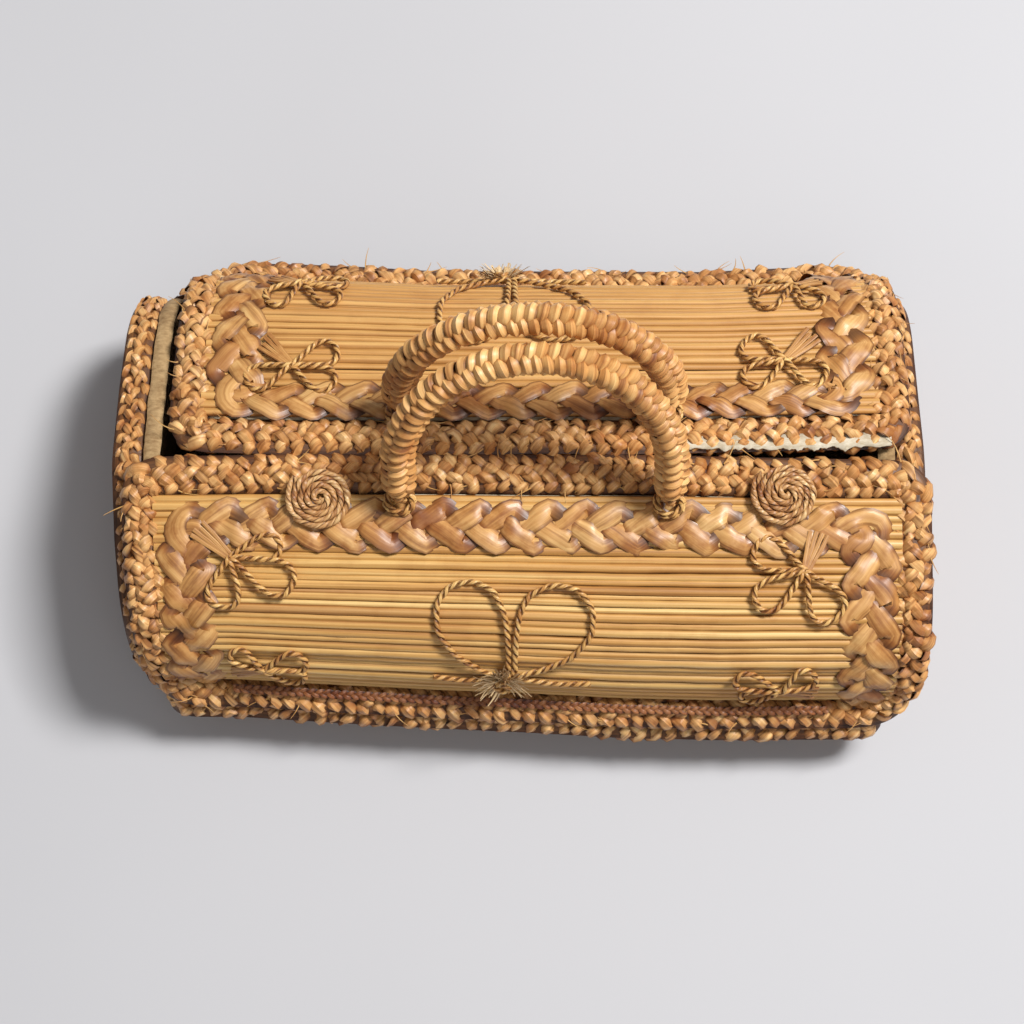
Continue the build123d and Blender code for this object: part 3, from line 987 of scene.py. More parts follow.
class Finishes:
    """All the materials of the bag, made once."""

    def __init__(self) -> None:
        """Make each of them."""
        self.front_straw = StrawFinish(
            "gold_straw",
            shade(238, 204, 140),
            shade(210, 166, 98),
            shade(156, 106, 52),
            streaks=5.0,
            grain=5.0,
            gloss=0.34,
            dull=0.52,
            relief=0.12 * MM,
            tan_shift=0.7,
            grime=0.2,
        ).make()
        self.back_straw = StrawFinish(
            "pale_straw",
            shade(224, 180, 114),
            shade(202, 152, 86),
            shade(158, 106, 54),
            streaks=5.0,
            grain=5.0,
            gloss=0.36,
            dull=0.55,
            relief=0.1 * MM,
            tan_shift=0.35,
            grime=0.15,
            edge_shade=0.5,
        ).make()
        self.end_straw = StrawFinish(
            "end_straw",
            shade(226, 182, 112),
            shade(200, 150, 86),
            shade(140, 92, 48),
            streaks=4.0,
            grain=16.0,
            tan_shift=0.7,
        ).make()
        self.rim = StrawFinish(
            "rim_straw", shade(248, 208, 148), shade(212, 162, 104), shade(122, 76, 42), grain=45.0
        ).make()
        # Painted shade: the band under the plaits and the handle cores is dark to stand for the
        # shade in the gaps between strands.
        self.rim_bed = StrawFinish(
            "rim_bed", shade(140, 98, 58), shade(104, 70, 40), shade(56, 36, 22), streaks=14.0
        ).make()
        self.border = StrawFinish(
            "folded_straw",
            shade(228, 186, 126),
            shade(198, 150, 92),
            shade(134, 88, 48),
            streaks=9.0,
            grain=30.0,
            gloss=0.3,
            dull=0.52,
        ).make()
        self.handle = StrawFinish(
            "handle_straw",
            shade(246, 206, 142),
            shade(218, 168, 106),
            shade(146, 96, 52),
            grain=45.0,
        ).make()
        self.cord = StrawFinish(
            "cord_straw",
            shade(244, 212, 146),
            shade(222, 178, 110),
            shade(160, 112, 62),
            streaks=5.0,
            grain=60.0,
        ).make()
        self.tuft = StrawFinish(
            "splintered_straw",
            shade(255, 240, 204),
            shade(244, 218, 170),
            shade(204, 162, 112),
            streaks=5.0,
        ).make()
        self.rosette = StrawFinish(
            "coil_straw",
            shade(232, 198, 146),
            shade(204, 160, 108),
            shade(142, 100, 62),
            streaks=4.0,
        ).make()
        self.hem = StrawFinish(
            "hem_straw", shade(178, 122, 76), shade(142, 92, 56), shade(92, 58, 36), grain=45.0
        ).make()
        self.lining = FeltFinish(
            "lining_felt", shade(186, 154, 110), shade(128, 98, 64), relief=0.4 * MM, fuzz=0.04
        ).make()
        self.card = FeltFinish(
            "pulp_board", shade(206, 192, 166), shade(162, 142, 112), 620.0, 0.2 * MM, 0.0
        ).make()
        self.torn_card = FeltFinish(
            "torn_board", shade(226, 216, 196), shade(180, 164, 136), 800.0, 0.2 * MM, 0.0
        ).make()


# --- Shape of the case, read back from the frame -----------------------------------------------


@dataclass(frozen=True)
class CoverShape:
    """Side profile and length of one cover.

    Attributes:
        side: FRONT or BACK.
        left: X of the left outer edge.
        right: X of the right outer edge.
        rim_wide: Width of the plaited rim.
        shoulder_y: Centre of the rounded shoulder, from the mouth.
        shoulder_z: Height of that centre.
        inner: Shoulder radius of the lining's inner face.
    """

    side: int
    left: float
    right: float
    rim_wide: float
    shoulder_y: float
    shoulder_z: float
    inner: float

    @classmethod
    def read(cls, name: str, side: int) -> "CoverShape":
        """Work the shape out from the boxes of a cover's lining and rim.

        Args:
            name: "front" or "back".
            side: FRONT or BACK.

        Returns:
            The shape.
        """
        low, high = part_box(f"{name}_lining")
        rim_low, rim_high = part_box(f"{name}_rim_plait")
        reach = high[1] if side == BACK else -low[1]
        rim_wide = low[0] - rim_low[0]
        rise = high[2] - low[2] - (reach - rim_wide) * tan(SLOPE)
        outer = rise / (cos(SLOPE) + (sin(SLOPE) - 1) * tan(SLOPE))
        return cls(
            side=side,
            left=rim_low[0],
            right=rim_high[0],
            rim_wide=rim_wide,
            shoulder_y=reach - outer,
            shoulder_z=low[2],
            inner=outer - LAYERS.lining,
        )

    @property
    def board_face(self) -> float:
        """Radius of the board's outer face."""
        return self.inner + LAYERS.lining + LAYERS.board

    @property
    def straw_face(self) -> float:
        """Radius of the straws' outer face."""
        return self.board_face + LAYERS.straw

    @property
    def rim_face(self) -> float:
        """Radius of the rim's outer face."""
        return self.inner + LAYERS.rim

    def run_to_shoulder(self, radius: float) -> float:
        """Run along a layer from the mouth to the start of its rounded part."""
        return (self.shoulder_y + radius * sin(SLOPE)) / cos(SLOPE)

    def full_run(self, radius: float) -> float:
        """Run along a layer from the mouth to its lower end."""
        return self.run_to_shoulder(radius) + radius * (pi / 2 - SLOPE)

    def place(self, x: float, run: float, radius: float) -> tuple[np.ndarray, np.ndarray]:
        """Point and outward direction on a layer.

        Args:
            x: Place along the length.
            run: Distance along the layer from the mouth.
            radius: Shoulder radius of the layer.

        Returns:
            The point and the unit outward direction.
        """
        past = run - self.run_to_shoulder(radius)
        angle = SLOPE + max(0.0, past) / radius
        drop = 0.0
        if angle > pi / 2:
            drop = (angle - pi / 2) * radius
            angle = pi / 2
        y = self.shoulder_y + radius * sin(angle) + min(0.0, past) * cos(SLOPE)
        z = self.shoulder_z + radius * cos(angle) - min(0.0, past) * sin(SLOPE) - drop
        return np.array([x, self.side * y, z]), np.array([0.0, self.side * sin(angle), cos(angle)])

    def guide(
        self,
        places: Sequence[tuple[float, float]],
        radius: float,
        lifts: Sequence[float] | float = 0.0,
        girth: Sequence[float] | float = 1.0,
        closed: bool = False,
        strand: float = 0.0,
    ) -> Guide:
        """Guide through (x, run) places on a layer.

        Args:
            places: The places, in metres.
            radius: Shoulder radius of the layer.
            lifts: Height above the layer at each place.
            girth: Size at each place.
            closed: Whether the guide is a loop.
            strand: Number that tells it from others.

        Returns:
            The guide.
        """
        heights = np.broadcast_to(np.asarray(lifts, dtype=float), (len(places),))
        found = [self.place(x, run, radius) for x, run in places]
        points = [point + up * lift for (point, up), lift in zip(found, heights)]
        return Guide.along(points, [up for _, up in found], girth, closed, strand)


@dataclass(frozen=True)
class TrayShape:
    """Side profile of the bottom panel.

    Attributes:
        half: Half of its length.
        depth: Height of its walls, and the radius of their outer curve.
        centre_y: Distance of that curve's centre from the middle.
        brim_front: Y of the front rim's outer edge, as a distance.
        brim_back: Y of the back rim's outer edge.
        brim_top: Height of the rim.
    """

    half: float
    depth: float
    centre_y: float
    brim_front: float
    brim_back: float
    brim_top: float

    @classmethod
    def read(cls) -> "TrayShape":
        """Work the shape out from the boxes of the skin and the rim.

        Returns:
            The shape.
        """
        _, skin_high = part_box("bottom_skin")
        low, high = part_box("bottom_rim_plait")
        return cls(
            half=high[0],
            depth=skin_high[2],
            centre_y=skin_high[1] - skin_high[2],
            brim_front=-low[1],
            brim_back=high[1],
            brim_top=high[2],
        )

    def profile(self, radius: float, steps: int = 14) -> list[tuple[float, float, float, float]]:
        """Line under the panel from front to back on a layer.

        Args:
            radius: Radius of the layer's end curves.
            steps: Points in each curve.

        Returns:
            Y, Z and outward Y and Z of each point.
        """
        line = []
        for side in (FRONT, BACK):
            angles = np.linspace(0.0, pi / 2, steps)
            if side == BACK:
                angles = angles[::-1]
            for angle in angles:
                out_y, out_z = side * cos(angle), -sin(angle)
                line.append(
                    (
                        side * self.centre_y + radius * out_y,
                        self.depth + radius * out_z,
                        out_y,
                        out_z,
                    )
                )
        return line


# --- What every sub-assembly shares -------------------------------------------------------------


@dataclass
class Workshop:
    """The looms and the finishes, handed to every sub-assembly."""

    finishes: Finishes = field(default_factory=Finishes)
    flat: Loom = field(default_factory=lambda: Loom(Lay.FLAT))
    flat_on_bed: Loom = field(default_factory=lambda: Loom(Lay.FLAT, with_bed=True))
    round: Loom = field(default_factory=lambda: Loom(Lay.ROUND, with_bed=True))
    twist: Loom = field(default_factory=lambda: Loom(Lay.TWIST))
    single: Loom = field(default_factory=lambda: Loom(Lay.SINGLE))


def settle(piece: bpy.types.Object, body: str, slot: str, *nodes: str) -> bpy.types.Object:
    """Say which body a piece rides on and which CAD nodes it stands for.

    Args:
        piece: The finished piece.
        body: Body it rides on.
        slot: Not used.
        nodes: CAD nodes that it replaces.

    Returns:
        The piece.
    """
    if nodes:
        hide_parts(*nodes)
    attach(piece, body)
    LOG.info("%s: %d faces on %s", piece.name, len(piece.data.polygons), body)
    return piece


def repaint(node: str, material: bpy.types.Material) -> None:
    """Give a CAD node that stays a better material.

    Args:
        node: Name of the CAD node.
        material: The material.
    """
    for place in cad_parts[node].material_slots:
        place.material = material
    LOG.info("%s: kept", node)


def bent_sheet(
    name: str,
    rows: np.ndarray,
    outward: np.ndarray,
    material: bpy.types.Material,
    wrinkle: float = 0.35 * MM,
    thick: float = 0.5 * MM,
) -> bpy.types.Object:
    """Sheet of cloth or board through a grid of points, wrinkled away from what it lies on.

    Args:
        name: Name of the piece.
        rows: Grid of points, rows by columns by 3.
        outward: Direction from the cloth to what it lies on, for each point.
        material: The cloth's material.
        wrinkle: Height of the wrinkles.
        thick: Thickness of the cloth.

    Returns:
        The sheet, with a live Solidify.
    """
    down, across = rows.shape[:2]
    u, v = np.meshgrid(np.linspace(0, 1, across), np.linspace(0, 1, down))
    waves = 0.5 + 0.25 * np.sin(23 * u + 5 * np.sin(4 * v)) + 0.25 * np.sin(17 * v + 9 * u + 2)
    points = rows - outward * (waves * wrinkle)[..., None]
    points = HAND_SHAPE.moved(points.reshape(-1, 3)).reshape(points.shape)
    faces = [
        (r * across + c, r * across + c + 1, (r + 1) * across + c + 1, (r + 1) * across + c)
        for r in range(down - 1)
        for c in range(across - 1)
    ]
    a, b, c = points[0, 0], points[0, 1], points[1, 0]
    if np.dot(np.cross(b - a, c - a), outward[0, 0]) < 0:
        faces = [face[::-1] for face in faces]
    mesh = bpy.data.meshes.new(name)
    mesh.from_pydata(points.reshape(-1, 3).tolist(), [], faces)
    mesh.shade_smooth()
    mesh.materials.append(material)
    piece = bpy.data.objects.new(name, mesh)
    bpy.context.scene.collection.objects.link(piece)
    solidify = piece.modifiers.new("cloth", "SOLIDIFY")
    solidify.thickness = thick
    solidify.offset = -1.0
    return piece


RIM_PLAIT = Plait(
    strands=5,
    half_width=5.9 * MM,
    depth=1.3 * MM,
    period=24 * MM,
    wide=3.8 * MM,
    thick=0.5 * MM,
    crown=2.3 * MM,
    sharp=0.95,
    pinch=0.1,
    jitter=2.8 * MM,
    tilt=3.4,
    fold=1.0 * MM,
    bed_wide=12.0 * MM,
    bed_thick=3.4 * MM,
    bed_drop=2.6 * MM,
)
RIM_SKIN = 1.75 * MM
BORDER_PLAIT = Plait(
    strands=3,
    half_width=6.1 * MM,
    depth=0.6 * MM,
    period=32 * MM,
    wide=6.8 * MM,
    thick=0.45 * MM,
    sharp=1.0,
    pinch=0.12,
    jitter=2.6 * MM,
    tilt=1.9,
    fold=0.9 * MM,
    sides=8,
    per_period=32,
)
HEM_PLAIT = Plait(
    strands=3,
    half_width=0.9 * MM,
    depth=0.3 * MM,
    period=7.5 * MM,
    wide=1.3 * MM,
    thick=0.7 * MM,
    pinch=0.1,
    jitter=0.5 * MM,
    tilt=0.5,
    sides=6,
    per_period=18,
)
HANDLE_PLAIT = Plait(
    strands=2,
    half_width=4.0 * MM,
    depth=1.0 * MM,
    period=6.4 * MM,
    wide=3.3 * MM,
    thick=0.8 * MM,
    pinch=0.2,
    jitter=1.5 * MM,
    tilt=1.7,
    fold=0.8 * MM,
    per_period=28,
    bed_wide=6.0 * MM,
    bed_thick=6.0 * MM,
)
CORD = Plait(
    strands=2,
    half_width=0.5 * MM,
    period=6.0 * MM,
    wide=1.25 * MM,
    thick=0.95 * MM,
    jitter=0.6 * MM,
    tilt=0.5,
    sides=6,
    per_period=9,
)
STRAW = Plait(wide=2.95 * MM, thick=2.5 * MM, jitter=0.3 * MM, sides=10)
FIBRE = Plait(wide=0.5 * MM, thick=0.35 * MM, jitter=0.4 * MM, sides=4)


def stepped(guide: Guide, plait: Plait) -> Guide:
    """The guide with whole periods, if it is a loop, and the plait's number of points in each.

    Args:
        guide: The line.
        plait: What it will carry.

    Returns:
        The new guide.
    """
    periods = guide.length() / plait.period
    count = round(periods) * plait.per_period if guide.closed else round(periods * plait.per_period)
    return guide.spaced(max(4, count))


def fitted(plait: Plait, guide: Guide) -> Plait:
    """The plait with its period stretched so that whole periods go round a closed guide.

    Args:
        plait: The sizes.
        guide: The closed line.

    Returns:
        The new sizes.
    """
    values = dict(plait.__dict__)
    values["period"] = guide.length() / round(guide.length() / plait.period)
    return Plait(**values)


def frays(
    spots: Sequence[tuple[np.ndarray, np.ndarray, np.ndarray]],
    chance: np.random.Generator,
    long: tuple[float, float],
    lift: float,
) -> list[Guide]:
    """Loose fibres that stand a little off a surface.

    Args:
        spots: Root, outward direction and heading of each fibre.
        chance: Source of the variation.
        long: Shortest and longest fibre.
        lift: How far their tips stand off.

    Returns:
        A tapering guide for each fibre.
    """
    guides = []
    for number, (root, up, heading) in enumerate(spots):
        reach = chance.uniform(*long)
        side = np.cross(up, heading)
        bend, rise = chance.uniform(-0.5, 0.5), chance.uniform(0.3, 1.0) * lift
        steps = np.linspace(0.0, 1.0, 6)
        points = [
            root + heading * reach * s + side * reach * bend * s * s + up * rise * s ** 1.5
            for s in steps
        ]
        guides.append(Guide.along(points, [up] * 6, 1.0 - 0.75 * steps, strand=float(number)))
    return guides


# --- Covers -----------------------------------------------------------------------------------


@dataclass
class Cover:
    """Front or back cover with its lining, board, straws, rim, border and frayed ends."""

    shop: Workshop
    name: str
    side: int
    body: str
    row_run: float
    row_share: float
    seed: int
    straw_first: float = 12.6 * MM
    straw_overlap: float = 2.5 * MM
    column: float = 17 * MM
    column_tuck: float = 1.6 * MM
    brim_out: float = 6.6 * MM
    brim_rise: float = -1.2 * MM
    shape: CoverShape = field(init=False)

    def __post_init__(self) -> None:
        """Read the shape from the frame."""
        self.shape = CoverShape.read(self.name, self.side)

    def build(self) -> None:
        """Make every piece of the cover."""
        self.board()
        self.lining()
        self.straws()
        self.rim()
        self.border()
        self.loose_fibres()

    def _grid(self, radius: float) -> tuple[np.ndarray, np.ndarray]:
        """Grid of points and outward directions on a layer, inside the rim.

        Args:
            radius: Distance of the layer from the shoulder's centre.

        Returns:
            Points and directions, rows by columns by 3.
        """
        shape, wide = self.shape, self.shape.rim_wide
        runs = np.linspace(wide / cos(SLOPE), shape.full_run(radius), 30)
        xs = np.linspace(shape.left + wide, shape.right - wide, 70)
        grid = [[shape.place(x, run, radius) for x in xs] for run in runs]
        rows = np.array([[point for point, _ in row] for row in grid])
        return rows, np.array([[up for _, up in row] for row in grid])

    def board(self) -> None:
        """Pasteboard under the straws."""
        rows, ups = self._grid(self.shape.board_face)
        name = f"{self.name}_pasteboard"
        piece = bent_sheet(name, rows, ups, self.shop.finishes.card, 0.1 * MM, LAYERS.board)
        settle(piece, self.body, "card", f"{self.name}_board")

    def lining(self) -> None:
        """Cloth on the inside of the board."""
        rows, ups = self._grid(self.shape.inner + LAYERS.lining)
        piece = bent_sheet(f"{self.name}_cloth", rows, ups, self.shop.finishes.lining)
        settle(piece, self.body, "lining", f"{self.name}_lining")

    def straws(self) -> None:
        """Whole straws side by side, of uneven width."""
        shape = self.shape
        chance = np.random.default_rng(self.seed)
        middle = shape.board_face + LAYERS.straw / 2
        left = shape.left + shape.rim_wide - self.straw_overlap
        right = shape.right - shape.rim_wide + self.straw_overlap
        xs = np.linspace(left, right, 42)
        run, number, guides = self.straw_first, 0, []
        last = shape.full_run(middle) - 1.2 * MM
        while run < last:
            girth = float(np.clip(chance.normal(0.88, 0.16), 0.58, 1.12))
            wide = girth * STRAW.wide
            sink = (1.0 - girth) * STRAW.thick / 2
            bow = chance.normal(0.0, 0.25 * MM)
            places = [(x, run + wide / 2 + bow * sin(pi * (x - left) / (right - left))) for x in xs]
            guides.append(shape.guide(places, middle, -sink, girth, strand=7.3 * number))
            run += wide * 0.93
            number += 1
        finishes = self.shop.finishes
        straw = finishes.front_straw if self.side == FRONT else finishes.back_straw
        piece = self.shop.single.weave(f"{self.name}_field", guides, STRAW, straw, seed=self.seed)
        settle(piece, self.body, "straw", f"{self.name}_straws")

    def rim_guide(self) -> Guide:
        """Closed line along the middle of the rim: mouth, columns and lower brim.

        Returns:
            The closed guide.
        """
        shape = self.shape
        radius, half = shape.rim_face - RIM_SKIN, shape.rim_wide / 2
        left, right = shape.left + half, shape.right - half
        top_run = (half + 0.3 * MM) / cos(SLOPE)
        points: list[np.ndarray] = []
        ups: list[np.ndarray] = []

        def add(point: Sequence[float], up: Sequence[float]) -> None:
            """Note a point and its outward direction."""
            points.append(np.asarray(point, dtype=float))
            ups.append(np.asarray(up, dtype=float))

        for x in (left, right):
            add(*shape.place(x, top_run, radius))
        low_run = shape.full_run(radius) - 2 * MM
        runs = np.linspace(top_run, low_run, 30)
        for run in runs[1:]:
            add(*shape.place(right, run, radius))
        brim_y = shape.shoulder_y + shape.inner + self.brim_out
        brim_z = shape.shoulder_z + self.brim_rise
        out = self.side
        add((right - 2 * MM, out * (brim_y + 0.5 * MM), brim_z + 3.5 * MM), (0.35, out * 0.8, 0.5))
        add((right - 8 * MM, out * (brim_y + 0.6 * MM), brim_z + 0.2 * MM), (0.1, out * 0.4, 0.9))
        for x in np.linspace(right - 14 * MM, left + 14 * MM, 20):
            add((x, out * brim_y, brim_z), (0.0, out * 0.22, 0.97))
        add((left + 8 * MM, out * (brim_y + 0.6 * MM), brim_z + 0.2 * MM), (-0.1, out * 0.4, 0.9))
        add((left + 2 * MM, out * (brim_y + 0.5 * MM), brim_z + 3.5 * MM), (-0.35, out * 0.8, 0.5))
        for run in runs[::-1][:-1]:
            add(*shape.place(left, run, radius))
        return Guide.along(points, ups, closed=True).softened(36)

    def rim(self) -> None:
        """Thick flat plait round the cover."""
        plait = fitted(RIM_PLAIT, self.rim_guide())
        guide = stepped(self.rim_guide(), plait)
        piece = self.shop.flat_on_bed.weave(
            f"{self.name}_rim",
            [guide],
            plait,
            self.shop.finishes.rim,
            self.shop.finishes.rim_bed,
            seed=self.seed,
        )
        settle(piece, self.body, "rim_plait", f"{self.name}_rim_plait")

    def border(self) -> None:
        """Plait of wide folded straws on three sides of the field."""
        shape = self.shape
        radius = shape.straw_face + 0.75 * MM
        half = self.column / 2
        tuck = half - self.column_tuck
        left, right = shape.left + shape.rim_wide + tuck, shape.right - shape.rim_wide - tuck
        low = shape.full_run(radius) - 1 * MM
        runs = np.linspace(low, self.row_run, 30)
        places = [(left, run) for run in runs]
        places += [(x, self.row_run) for x in np.linspace(left, right, 40)[1:]]
        places += [(right, run) for run in runs[::-1][1:]]
        girth = [1.0] * 29 + [self.row_share] * 40 + [1.0] * 29
        guide = shape.guide(places, radius, girth=girth).softened(24)
        guide = stepped(guide, BORDER_PLAIT)
        piece = self.shop.flat.weave(
            f"{self.name}_border", [guide], BORDER_PLAIT, self.shop.finishes.border, seed=self.seed
        )
        settle(piece, self.body, "flat_plait", f"{self.name}_border_plait")

    def loose_fibres(self) -> None:
        """Short fibres that have worked loose along the rim."""
        chance = np.random.default_rng(self.seed + 50)
        guide = self.rim_guide()
        tangents, sides = guide.tangents(), np.cross(guide.tangents(), guide.ups)
        spots = []
        for at in chance.choice(len(guide.points), 90, replace=False):
            hand = chance.choice((-1.0, 1.0))
            across = chance.uniform(0.5, 1.0)
            root = (
                guide.points[at]
                + sides[at] * hand * across * 5.2 * MM
                - guide.ups[at] * across * MM
            )
            heading = (
                tangents[at] * chance.uniform(-1, 1) + sides[at] * hand * chance.uniform(-0.2, 0.6)
            )
            spots.append((root, guide.ups[at], heading / np.linalg.norm(heading)))
        fibres = frays(spots, chance, (3 * MM, 8 * MM), 1.5 * MM)
        piece = self.shop.single.weave(f"{self.name}_frays", fibres, FIBRE, self.shop.finishes.cord)
        settle(piece, self.body, "rim_plait")


@dataclass
class BackCover(Cover):
    """The hinged back cover, with the torn board that shows at its mouth."""

    torn_from: float = 44 * MM
    torn_to: float = 112 * MM
    torn_points: int = 110

    def build(self) -> None:
        """Make every piece of the cover."""
        super().build()
        self.torn_edge()

    def torn_edge(self) -> None:
        """Ragged strip of pulp board under the mouth's rim."""
        chance = np.random.default_rng(self.seed + 80)
        count = self.torn_points
        xs = np.linspace(self.torn_from, self.torn_to, count)
        rag = np.convolve(chance.normal(0.0, 0.5 * MM, count + 2), np.ones(3) / 3, "valid")
        fade = np.sin(np.linspace(0.0, pi, count)) ** 0.4
        radius = self.shape.rim_face - 2.0 * MM
        torn = 1.5 * MM - (0.7 * MM + rag) * fade
        edges = (torn, np.full(count, 2.5 * MM), np.full(count, 5 * MM))
        grid = [[self.shape.place(x, run, radius) for x, run in zip(xs, edge)] for edge in edges]
        rows = np.array([[point for point, _ in row] for row in grid])
        ups = np.array([[up for _, up in row] for row in grid])
        piece = bent_sheet("back_torn_edge", rows, ups, self.shop.finishes.torn_card, 0.3 * MM)
        settle(piece, self.body, "card")


@dataclass
class FrontCover(Cover):
    """The fixed front cover, with the thin braid along its hem."""

    def build(self) -> None:
        """Make every piece of the cover."""
        super().build()
        self.hem()

    def hem(self) -> None:
        """Thin reddish braid in the corner over the lower rim."""
        low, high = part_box("front_hem_plait")
        y, z = (low[1] + high[1]) / 2, (low[2] + high[2]) / 2
        ends = [(low[0], y, z), (high[0], y, z)]
        guide = stepped(Guide.along(ends, [(0, -0.35, 1)] * 2), HEM_PLAIT)
        piece = self.shop.flat.weave("front_hem", [guide], HEM_PLAIT, self.shop.finishes.hem)
        settle(piece, self.body, "flat_plait", "front_hem_plait")


# --- Bottom panel -----------------------------------------------------------------------------


@dataclass
class Tray:
    """Bottom panel with its lining, board, straw skin and rim."""

    shop: Workshop
    rim_wide: float = 12 * MM
    skin: float = 2.6 * MM
    seed: int = 31
    shape: TrayShape = field(init=False)

    def __post_init__(self) -> None:
        """Read the shape from the frame."""
        self.shape = TrayShape.read()

    def build(self) -> None:
        """Make every piece of the panel."""
        self.board()
        self.lining()
        self.straws()
        self.rim()

    def _grid(self, radius: float) -> tuple[np.ndarray, np.ndarray]:
        """Grid of points and outward directions on a layer, between the end rims.

        Args:
            radius: Distance of the layer from the edge's centre.

        Returns:
            Points and directions, rows by columns by 3.
        """
        line = self.shape.profile(radius)
        half = self.shape.half - self.rim_wide
        xs = np.linspace(-half, half, 70)
        rows = np.array([[(x, y, z) for x in xs] for y, z, _, _ in line])
        return rows, np.array([[(0.0, v, w)] * len(xs) for _, _, v, w in line])

    def board(self) -> None:
        """Pasteboard over the straw skin."""
        rows, ups = self._grid(self.shape.depth - self.skin)
        finish = self.shop.finishes.card
        piece = bent_sheet("bottom_pasteboard", rows, ups, finish, 0.1 * MM, LAYERS.board)
        settle(piece, "case", "card", "bottom_board")

    def lining(self) -> None:
        """Cloth on the floor of the bag."""
        rows, ups = self._grid(self.shape.depth - self.skin - LAYERS.board)
        piece = bent_sheet("bottom_cloth", rows, ups, self.shop.finishes.lining)
        settle(piece, "case", "lining", "bottom_lining")

    def straws(self) -> None:
        """Straws along the underside."""
        shape = self.shape
        radius = shape.depth - self.skin / 2
        table = shape.profile(radius, 40)
        line = Guide.along([(0, y, z) for y, z, _, _ in table], [(0, v, w) for _, _, v, w in table])
        line = line.spaced(round(line.length() / (2.7 * MM)))
        half = shape.half - self.rim_wide + 2 * MM
        xs = np.linspace(-half, half, 24)
        guides = [
            Guide.along([(x, p[1], p[2]) for x in xs], [up] * len(xs), strand=5.1 * n)
            for n, (p, up) in enumerate(zip(line.points, line.ups))
        ]
        skin = Plait(wide=2.75 * MM, thick=self.skin * 0.86, jitter=0.15 * MM)
        piece = self.shop.single.weave("bottom_straws", guides, skin, self.shop.finishes.end_straw)
        settle(piece, "case", "straw", "bottom_skin")

    def rim_guide(self) -> Guide:
        """Closed line: front brim, round one end, back brim and round the other end.

        Returns:
            The closed guide.
        """
        shape = self.shape
        radius = shape.depth - RIM_SKIN - 0.3 * MM
        end_x = shape.half - self.rim_wide / 2
        front_y = shape.brim_front - 6.3 * MM
        back_y = shape.brim_back - 6.3 * MM
        z = shape.brim_top - 1.9 * MM
        under = shape.profile(radius, 16)
        points, ups = [], []
        for side, brim_y in ((FRONT, front_y), (BACK, back_y)):
            hand = -side
            for x in np.linspace(-hand * (end_x - 9 * MM), hand * (end_x - 9 * MM), 20):
                points.append((x, side * brim_y, z))
                ups.append((0.0, side * 0.25, 0.97))
            points.append((hand * (end_x - 2 * MM), side * brim_y, z - 0.8 * MM))
            ups.append((hand * 0.3, side * 0.7, 0.6))
            for y, low, out_y, out_z in under[:: -side]:
                points.append((hand * end_x, y, low))
                ups.append((0.0, out_y, out_z))
            corner_y = back_y if side == FRONT else front_y
            points.append((hand * (end_x - 2 * MM), -side * corner_y, z - 0.8 * MM))
            ups.append((hand * 0.3, -side * 0.7, 0.6))
        return Guide.along(points, ups, closed=True).softened(20)

    def rim(self) -> None:
        """Thick flat plait round the panel."""
        plait = fitted(RIM_PLAIT, self.rim_guide())
        guide = stepped(self.rim_guide(), plait)
        finishes = self.shop.finishes
        piece = self.shop.flat_on_bed.weave(
            "bottom_rim", [guide], plait, finishes.rim, finishes.rim_bed, seed=self.seed
        )
        settle(piece, "case", "rim_plait", "bottom_rim_plait")


# --- End pieces -------------------------------------------------------------------------------


